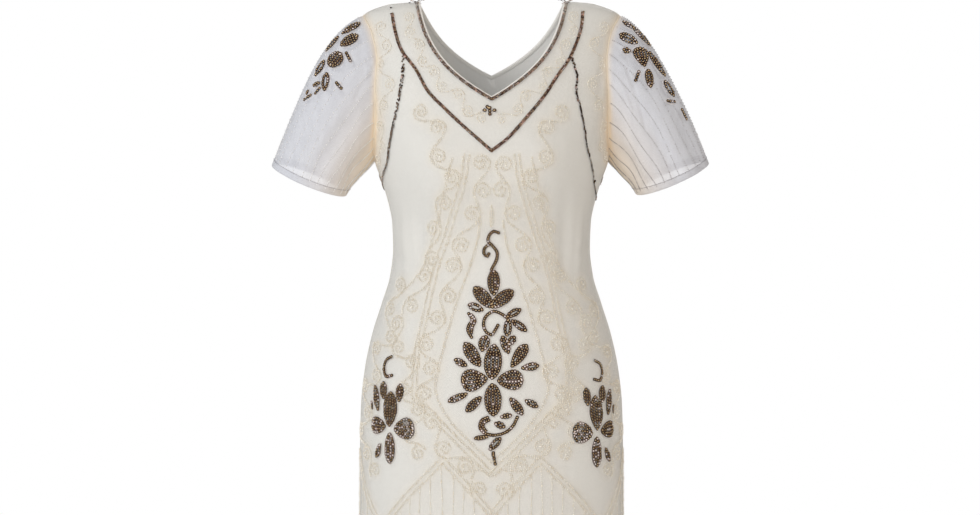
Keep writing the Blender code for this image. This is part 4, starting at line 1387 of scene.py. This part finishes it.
TALL_SPRAY_STROKES = (
    Stroke(0.7, ((-33, 97), (-28, 88), (-33, 80), (-34, 72), (-29, 63))),
    Stroke(0.8, ((-29, 95), (-24, 87), (-28, 78), (-29, 70))),
    Stroke(0.2, (
        (22, 91), (14.5, 96.5), (4, 100.5), (-4, 97), (-10, 90), (-11.5, 80), (-8, 71), (0, 66.5),
        (5, 73), (9, 80))),
    Stroke(0.2, ((10, 215), (3, 217), (-3, 211.5), (-5, 203), (2, 195), (8, 186), (7, 175), (0, 161.5))),
    Stroke(0.4, ((-5, 197), (-10, 192.5), (-11, 185), (-7, 180.5), (-4, 184))),
    Stroke(0.1, (
        (-6, -53), (-14, -57), (-17, -66), (-12, -74), (-2, -78), (9, -78), (21, -74), (31, -65),
        (37, -53))),
    Stroke(0.1, ((-4, -57), (-10, -60), (-12.5, -66), (-8.5, -72))),
)
HIP_SPRAY = (
    Petal(0.5, 25, -4, 52, 25, 1.45), Petal(0, -32, 180, 45, 19, 1.2, 0.55),
    Petal(24, -3, -85, 34, 31, 1.0, 0.45, 0.35), Petal(-23, 0, 85, 31, 25, 1.0, 0.25, 0.3),
    Petal(-12, 52, 4, 26, 15, 1.2), Petal(17, 49, -6, 27, 14, 1.2, 0.25), Petal(-26, 40, 11, 38, 14),
    Petal(-38, 29, 10, 13, 7, 1.3, 0.4), Petal(-22, -37, 155, 23, 11, 1.35, 0.3),
)
HIP_SPRAY_STROKES = (Stroke(0.1, ((1, 101), (-9, 96), (-13, 84), (-8, 72.5), (2.5, 74))),)

# Sleeve petals: millimetres to the left of the middle of the dress, and level, as they face the front
SLEEVE_PETALS = {
    RIGHT: (
        Petal(-210, -41, -58, 33, 15, 1.2, 0.35), Petal(-210, -61, -59, 31, 19, 1.2),
        Petal(-233, -91, -40, 27, 27, 1.0, 0.3, 0), Petal(-236, -65, -37, 30, 12),
        Petal(-255, -103, -27, 28, 13, 1.2), Petal(-245, -123, 0, 29, 13, 1.2),
        Petal(-261, -127, -83, 14, 9, 1.1), Petal(-211, -86, 28, 19, 7, 1.2, 0.4),
        Petal(-227, -130, 41, 16, 7, 1.2, 0.5), Petal(-259, -137, -43, 14, 6),
        Petal(-273, -147, -73, 17, 6), Petal(-272, -137, -29, 8, 6),
    ),
    LEFT: (
        Petal(203, -37, 54, 22, 11, 1.2, 0.2), Petal(204, -58, 64, 31, 17, 1.2, 0.2),
        Petal(200, -77, 82, 13, 11, 1.1, 0.2), Petal(225, -54, 42, 41, 14, 1.2, 0.2),
        Petal(221, -86, 4, 33, 24, 1.0, 0.05, 0.6), Petal(247, -97, 33, 45, 14, 1.2),
        Petal(233, -119, 0, 30, 14, 1.2, 0.25), Petal(216, -116, -22, 19, 7, 1.2, 0.2),
        Petal(262, -132, 33, 29, 13, 1.2), Petal(265, -152, 98, 18, 7, 1.1, 0.4), Petal(285, -170, 28, 20, 4),
    ),
}


def flat_places(petal, side_places):
    """Places from a petal's own middle, turned and moved to their spray, in millimetres."""
    turn = math.radians(petal.turn)
    right, up = np.array((math.cos(turn), math.sin(turn))), np.array((-math.sin(turn), math.cos(turn)))
    return np.array((petal.right, petal.up)) + side_places[:, :1] * right + side_places[:, 1:] * up


def petal_line(petal, across, along):
    """A line up a petal at shares of its half width and length. The width at a turn t from the tip is the
    sine of t to the power of the petal's point, and fuller towards the tip by its taper."""
    t = np.linspace(0, math.pi, 121)
    wide = np.sin(t) ** petal.point * (1 + petal.taper * np.cos(t))
    side_places = np.stack([petal.width / 2 * across * wide, petal.length / 2 * along * np.cos(t)], axis=1)
    return flat_places(petal, side_places), petal.width / 2 * wide


def petal_lines(petal):
    """The lines of sequins that fill a petal, from its base to its tip, dropped where they crowd."""
    rim = 1 - 1000 * PETAL_SEQUIN / petal.width
    along = 1 - 1000 * 0.9 * PETAL_SEQUIN / petal.length
    rows = max(1, round(rim * petal.width / (1000 * PETAL_ROW)) + 1)
    lines = []
    for k in range(rows):
        across = rim * (2 * k / (rows - 1) - 1) if rows > 1 else 0
        line, wide = petal_line(petal, across, along)
        gap = 2 * rim * wide / max(rows - 1, 1)
        outer, crowded = k in (0, rows - 1), 1000 * PETAL_ROW * (0.8 if k % 2 else 0.5)
        kept = (gap > crowded) if not outer else (wide > (0 if k == 0 else 1.5))
        if kept.sum() > 8:
            lines.append(line[kept])
    return lines or [petal_line(petal, 0, along)[0]]


def petal_edge(petal):
    """A petal's outline, just outside it."""
    grown = petal._replace(width=petal.width + 1.2, length=petal.length + 1.6)
    return np.vstack([petal_line(grown, 1, 1)[0], petal_line(grown, -1, 1)[0][::-1]])


def spray_parts(petals, strokes):
    """All of a spray's sequins and edge beads in millimetres: spots, ways, blush; and edge spots."""
    spots, ways, blush, edges = [], [], [], []
    for petal in petals:
        for line in petal_lines(petal):
            here, way = stepped(line, 1000 * PETAL_PITCH)
            spots.append(here)
            ways.append(way)
            blush.append(np.full(len(here), petal.blush))
        edges.append(stepped(petal_edge(petal), 1000 * EDGE_PITCH)[0][:-1])
    for stroke in strokes:
        drawn = smooth_line(stroke.places, 100)
        here, way = stepped(drawn, STROKE_PITCH)
        spots.append(here)
        ways.append(way)
        blush.append(np.full(len(here), stroke.blush))
        edges += [stepped(line, 1000 * EDGE_PITCH)[0] for line in side_by_side(drawn, STROKE_WIDTH)]
    return np.vstack(spots), np.vstack(ways), np.concatenate(blush), np.vstack(edges)


def nearest_on_sleeve(hand, places, angle, along):
    """The angles and shares along of the sleeve's points nearest to places by it, closed in on in steps:
    each step solves gap = angle_step * round_it + along_step * down, as nearly as it can be."""
    angle, along = np.full(len(places), angle), np.full(len(places), along)
    for _ in range(7):
        here = hung_sleeve(hand, angle, along)
        round_it = (hung_sleeve(hand, angle + 0.01, along) - here) / 0.01
        down = (hung_sleeve(hand, angle, along + 0.01) - here) / 0.01
        gap = places - here
        aa, ab, bb, ga, gb = (
            np.sum(p * q, axis=1)
            for p, q in ((round_it, round_it), (round_it, down), (down, down), (gap, round_it), (gap, down))
        )
        whole = np.maximum(aa * bb - ab * ab, 1e-12)
        angle = angle + np.clip((ga * bb - gb * ab) / whole, -0.3, 0.3)
        along = np.clip(along + np.clip((gb * aa - ga * ab) / whole, -0.2, 0.2), 0.01, 0.93)
    return angle, along


def sleeve_scrap(hand, side, petal):
    """A rule that lays a petal's own flat places onto the worn sleeve, about the sleeve's point that lies
    behind the petal's place when it is seen from the side it is on."""
    half = slice(2, 120) if side == FRONT else slice(121, 239)
    angles, alongs = np.meshgrid(SLEEVE_ANGLES[half], SLEEVE_ALONGS)
    points = hung_sleeve(hand, angles, alongs)
    nearest = np.argmin(np.hypot(points[..., 0] - petal.right / 1000, points[..., 2] - petal.up / 1000))
    angle, along = angles.flat[nearest], alongs.flat[nearest]
    middle, out = on_sleeve(hand, np.array([angle]), np.array([along]))
    turn = math.radians(petal.turn)
    up = np.array((-math.sin(turn), 0.0, math.cos(turn)))
    up = unit(up - np.dot(up, out[0]) * out[0])
    right = np.cross(up, out[0])

    def scrap(places, lift):
        """The petal's places, first on a plane that touches the sleeve, then on the sleeve."""
        flat = middle + places[:, :1] * right + places[:, 1:] * up
        return on_sleeve(hand, *nearest_on_sleeve(hand, flat, angle, along), lift)

    return scrap


BUD = (
    Petal(0.5, -1, 0, 14, 5, 1.1, 0.05), Petal(-2, 4, 50, 8, 4.5, 1.1, 0.1), Petal(-7, 0, 80, 6, 4, 1.1, 0.1),
    Petal(7, 0, -80, 6, 4, 1.1, 0.1),
)
Spray = namedtuple("Spray", "cloth sewn_to place mirror petals strokes")
SPRAYS = [
    Spray(dress_cloth(FRONT), FRONT, (-0.0030, -0.170), 1, BUD, ()),
    Spray(dress_cloth(FRONT), FRONT, (0.0000, -0.562), 1, TALL_SPRAY, TALL_SPRAY_STROKES),
    Spray(dress_cloth(FRONT), FRONT, (-0.1550, -0.630), 1, HIP_SPRAY, HIP_SPRAY_STROKES),
    Spray(dress_cloth(FRONT), FRONT, (0.1610, -0.636), -1, HIP_SPRAY, HIP_SPRAY_STROKES),
    Spray(dress_cloth(BACK), BACK, (-0.1560, -0.632), 1, HIP_SPRAY, HIP_SPRAY_STROKES),
    Spray(dress_cloth(BACK), BACK, (0.1600, -0.634), -1, HIP_SPRAY, HIP_SPRAY_STROKES),
]
for hand in (LEFT, RIGHT):
    for side in (FRONT, BACK):
        for petal in SLEEVE_PETALS[hand]:
            flat = petal._replace(right=0, up=0, turn=0)
            SPRAYS.append(Spray(sleeve_scrap(hand, side, petal), SLEEVE_NAMES[hand], (0, 0), 1, (flat,), ()))
cream_seed = bead_finish("cream_seed", (0.98, 0.92, 0.89), (0.92, 0.82, 0.76), 0.3)
brown_places.update({"left": [], "right": []})
petal_frames, stitch_frames, edge_frames, petal_blush_and_glint = [], [], [], []
for spray in SPRAYS:
    spots, ways, blush, edges = spray_parts(spray.petals, spray.strokes)
    flip = np.array((spray.mirror, 1))
    spots, ways, edges = (spray.place + flip * spots / 1000, flip * ways, spray.place + flip * edges / 1000)
    frames = frames_on(spray.cloth, spots, ways, PETAL_LIFT)
    petal_frames.append(leaning(frames, PETAL_LEAN, PETAL_LEAN_WANDER, luck))
    stitch_frames.append(on_top(frames, STITCH_BEAD_LIFT))
    edge_frames.append(frames_on(spray.cloth, edges, SIDEWAYS, EDGE_LIFT))
    petal_blush_and_glint.append(blush)
    brown_places[spray.sewn_to].append(spots if spray.sewn_to in (FRONT, BACK) else frames[0])
petal_blush_and_glint, edge_frames = np.concatenate(petal_blush_and_glint), joined_frames(edge_frames)
count = len(petal_blush_and_glint)
# Rosy sequins take a little blush and a larger pale pink bead, partly the beads' own colour and partly
# painted glints
rosy_and_glinting = luck.uniform(0, 1, count) < 0.8 * petal_blush_and_glint
sizes = PETAL_SEQUIN * (1 + luck.normal(0, 0.04, (count, 1)))
set_out("sequin_flowers", disc, joined_frames(petal_frames), sizes, brown_sequin, smooth=False,
        tone=luck.uniform(0, 0.22, count), blush=0.2 * rosy_and_glinting * luck.uniform(0, 1, count))
sizes = STITCH_BEAD * (1 + 0.3 * rosy_and_glinting[:, None])
set_out("flower_seed_beads", small_bead, joined_frames(stitch_frames), sizes, tan_bead,
        tone=luck.uniform(0.2, 1, count), blush=rosy_and_glinting * 1.0)
set_out("flower_edges", seed, edge_frames, EDGE_BEAD, cream_seed,
        tone=luck.uniform(0, 1, len(edge_frames[0])))

# ---------------------------------------------------------------------------
# The cream beads. Glass beads, two side by side in the bolder lines, follow the pricked pattern, front
# and back, with a larger bead in the eye of each scroll. They stop short of seams and brown sequins.
# ---------------------------------------------------------------------------
CREAM_BEAD, CREAM_PITCH, CREAM_GAP = 0.0022, 0.0032, 0.0021
EYE_BEAD, EYE_LIFT = 0.0027, 0.0018
NEAR_CELL, THINNING_CELL = 0.0015, 0.0018

# The level that parts the beads of the scrolls from those of the skirt, which are a piece of their own
PIECE_PARTING = -0.66


def clear_of(places, sewn, reach):
    """Which places lie further than a reach from everything sewn, by a map of small cells."""
    sewn = np.vstack(sewn)
    steps = np.arange(-reach, reach + NEAR_CELL / 2, NEAR_CELL)
    near = np.stack(np.meshgrid(*[steps] * sewn.shape[1]), axis=-1).reshape(-1, sewn.shape[1])
    near = near[np.linalg.norm(near, axis=1) <= reach]
    place_of = 10000 ** np.arange(sewn.shape[1])
    taken = np.round((sewn[:, None] + near[None]) / NEAR_CELL).astype(int) @ place_of
    return ~np.isin(np.round(places / NEAR_CELL).astype(int) @ place_of, taken)


def on_panel(side, places, margin):
    """Which places lie on a front or back panel, clear of its side seams, its neck and its armholes."""
    around, level = np.abs(places[:, 0]), places[:, 1]
    inside = around < around_at(side, np.full_like(level, math.pi / 2), level) - margin
    neck_angle, neck_level = neckline(side, 0.0, 80)
    neck_around = around_at(side, neck_angle, neck_level)
    above = level > neck_level[0]
    inside &= ~(above & (around < np.interp(level, neck_level, neck_around) + 0.011))
    inside &= (np.abs(level - neck_level[0]) > 0.011) | (around > 0.010)
    arm_angle, arm_level = armhole(side, np.linspace(0, 1, 80))
    arm_around = around_at(side, arm_angle, arm_level)
    beside = (level > arm_level[0]) & (level < arm_level[-1])
    return inside & ~(beside & (around > np.interp(level, arm_level, arm_around) - margin)) & (level < -0.004)


def thinned(spots, cell):
    """One place from each small cell, so that beads don't run into each other where lines meet."""
    _, kept = np.unique(np.round(spots / cell).astype(int), axis=0, return_index=True)
    return np.sort(kept)


cream_bead = bead_finish("cream_bead", (0.98, 0.96, 0.90), (0.83, 0.75, 0.62), 0.12)
for side, end in ((FRONT, "front"), (BACK, "back")):
    cloth, spots, ways = dress_cloth(side), [], []
    for curve in PATTERNS[side]:
        line = evenly(curve.places, 160)
        for k, row in enumerate(side_by_side(line, CREAM_GAP) if curve.beads == 2 else [line]):
            here, way = stepped(row, CREAM_PITCH / 2)
            spots.append(here[k::2])
            ways.append(way[k::2])
    spots, ways = np.vstack(spots), np.vstack(ways)
    spots = spots + luck.normal(0, 0.00035, spots.shape)
    kept = on_panel(side, spots, 0.004) & clear_of(spots, brown_places[side], 0.0032)
    spots, ways = spots[kept], ways[kept]
    kept = thinned(spots, THINNING_CELL)
    spots, ways = spots[kept], ways[kept]
    sizes = CREAM_BEAD * (1 + luck.normal(0, 0.14, len(spots)))
    tone = luck.uniform(0, 1, len(sizes))
    points, alongs, outs = frames_on(cloth, spots, ways, 0.0)
    points = points + outs * sizes[:, None] * 0.40
    skirt = spots[:, 1] < PIECE_PARTING
    for part, chosen in (("scrolls", ~skirt), ("skirt", skirt)):
        frames = (points[chosen], alongs[chosen], outs[chosen])
        set_out(f"cream_beads_{end}_{part}", small_bead, frames, sizes[chosen, None], cream_bead,
                tone=tone[chosen])
    eyes = np.array([curve.places[0] for curve in PATTERNS[side] if curve.eye])
    eyes = eyes[on_panel(side, eyes, 0.006) & clear_of(eyes, brown_places[side], 0.004)]
    frames = frames_on(cloth, eyes, SIDEWAYS, EYE_LIFT)
    set_out(f"eye_beads_{end}", ball, frames, EYE_BEAD, cream_bead, tone=np.ones(len(eyes)))

# ---------------------------------------------------------------------------
# The sleeve beads. Fine lines of small beads run down each sleeve from the armhole to the band,
# evenly round it, and stop at the petals. The same beads are coloured near white on the right sleeve,
# as a painted highlight on the side the key light falls on, and dark grey on the left, as painted shade.
# ---------------------------------------------------------------------------
SLEEVE_LINES, SLEEVE_ROWS, SLEEVE_BEAD_LIFT, LOST_BEADS = 26, 58, 0.0004, 0.06
SleeveBeads = namedtuple("SleeveBeads", "large small light dark")
# One kind of bead in lit and shaded copies: the right sleeve's near-white colours are a painted highlight,
# the left sleeve's dark greys are painted shade
SLEEVE_BEADS_LIT_AND_SHADED = {
    RIGHT: SleeveBeads(large=0.0024, small=0.0011, light=(0.95, 0.95, 0.94), dark=(0.86, 0.85, 0.84)),
    LEFT: SleeveBeads(large=0.0019, small=0.0015, light=(0.46, 0.43, 0.43), dark=(0.20, 0.18, 0.18)),
}
for hand in (LEFT, RIGHT):
    beads = SLEEVE_BEADS_LIT_AND_SHADED[hand]
    # Each sleeve's bead material carries its painted light: lit near white on the right, shaded grey on the
    # left
    finish = bead_finish(f"sleeve_bead_{SLEEVE_NAMES[hand]}", beads.light, beads.dark, 0.3)
    angles, alongs = np.meshgrid(
        (np.arange(SLEEVE_LINES) + 0.5) * math.tau / SLEEVE_LINES, np.linspace(0.03, 0.93, SLEEVE_ROWS)
    )
    sizes = np.where(np.arange(SLEEVE_ROWS) % 2, beads.large, beads.small)[:, None] + 0 * angles
    angles = angles + 0.035 * np.sin(9 * alongs + 5 * angles)
    angles, alongs, sizes = angles.ravel(), alongs.ravel(), sizes.ravel()
    points, outs = on_sleeve(hand, angles, alongs, SLEEVE_BEAD_LIFT)
    kept = clear_of(points, brown_places[SLEEVE_NAMES[hand]], 0.0035)
    kept &= luck.uniform(0, 1, len(points)) > LOST_BEADS
    ahead, _ = on_sleeve(hand, angles, alongs + 0.004, SLEEVE_BEAD_LIFT)
    frames = (points[kept], unit(ahead - points)[kept], outs[kept])
    set_out(f"sleeve_beads_lit_and_shaded_{SLEEVE_NAMES[hand]}", seed, frames, sizes[kept, None], finish, "sheer_net",
            tone=luck.uniform(0, 1, kept.sum()))

# ---------------------------------------------------------------------------
# The studio. A pale floor far below the hanging dress, a large soft light from the wearer's right, a
# smaller one by the camera, a weak warm fill from the left, one behind, and a camera level with the waist.
# ---------------------------------------------------------------------------
CAMERA_PLACE = (-0.00225, -3.5, -0.38325)
CAMERA_FOCAL = 85.71
FLOOR_LEVEL, FLOOR_HALF_SIZE = -1.35, 4.8


def soft_light(name, place, target, size, power, colour):
    """A square light that faces its target."""
    lamp = bpy.data.lights.new(name, "AREA")
    lamp.shape, lamp.size, lamp.energy, lamp.color = "SQUARE", size, power, colour
    made = bpy.data.objects.new(name, lamp)
    made.location = place
    aim = np.subtract(target, place)
    flat = math.hypot(aim[0], aim[1])
    made.rotation_euler = (math.atan2(flat, -aim[2]), 0, math.atan2(aim[1], aim[0]) - math.pi / 2)
    bpy.context.scene.collection.objects.link(made)


def studio_world():
    """White where the camera sees it, and a weaker pale light on the dress."""
    world = bpy.data.worlds.new("studio")
    world.use_nodes = True
    tree = world.node_tree
    tree.nodes.clear()
    seen = node(tree, "ShaderNodeBackground", {"Color": (1, 1, 1, 1), "Strength": 1.0})
    lit = node(tree, "ShaderNodeBackground", {"Color": (1.0, 0.975, 0.94, 1), "Strength": 0.40})
    camera_ray = node(tree, "ShaderNodeLightPath").outputs["Is Camera Ray"]
    either = node(tree, "ShaderNodeMixShader", {0: camera_ray, 1: lit.outputs[0], 2: seen.outputs[0]})
    node(tree, "ShaderNodeOutputWorld", {"Surface": either.outputs[0]})
    bpy.context.scene.world = world


def floor_finish():
    """A pale matt floor with a faint grain."""
    material, tree = new_finish("studio_floor", Roughness=0.8)
    grain = clouded(tree, node(tree, "ShaderNodeTexCoord").outputs["Object"], 40.0, 4.0)
    return finished(material, Base_Color=mixed(tree, grain, (0.80, 0.80, 0.80), (0.86, 0.86, 0.86)))


studio_world()
corners = np.array([(-1, -1), (1, -1), (1, 1), (-1, 1)]) * FLOOR_HALF_SIZE
floor_mesh = bpy.data.meshes.new("studio_floor")
floor_mesh.from_pydata([(x, y, FLOOR_LEVEL) for x, y in corners], [], [(0, 1, 2, 3)])
floor_mesh.materials.append(floor_finish())
floor = bpy.data.objects.new("studio_floor", floor_mesh)
bpy.context.scene.collection.objects.link(floor)

soft_light("key", (-2.5, -2.3, 1.1), (0, 0, -0.4), 1.9, 55, (1.0, 0.99, 0.97))
soft_light("front", (-0.5, -3.9, -0.3), (0, 0, -0.3), 1.4, 34, (1.0, 0.99, 0.98))
soft_light("fill", (2.4, -2.0, 0.1), (0, 0, -0.6), 2.0, 16, (1.0, 0.78, 0.55))
soft_light("back", (0.4, 2.8, 1.2), (0, 0, -0.4), 2.0, 38, (1.0, 1.0, 1.0))

lens = bpy.data.cameras.new("camera")
lens.lens, lens.sensor_width = CAMERA_FOCAL, 36
camera = bpy.data.objects.new("camera", lens)
camera.location, camera.rotation_euler = CAMERA_PLACE, (math.pi / 2, 0, 0)
bpy.context.scene.collection.objects.link(camera)
bpy.context.scene.camera = camera
bpy.context.scene.view_settings.view_transform = "Standard"
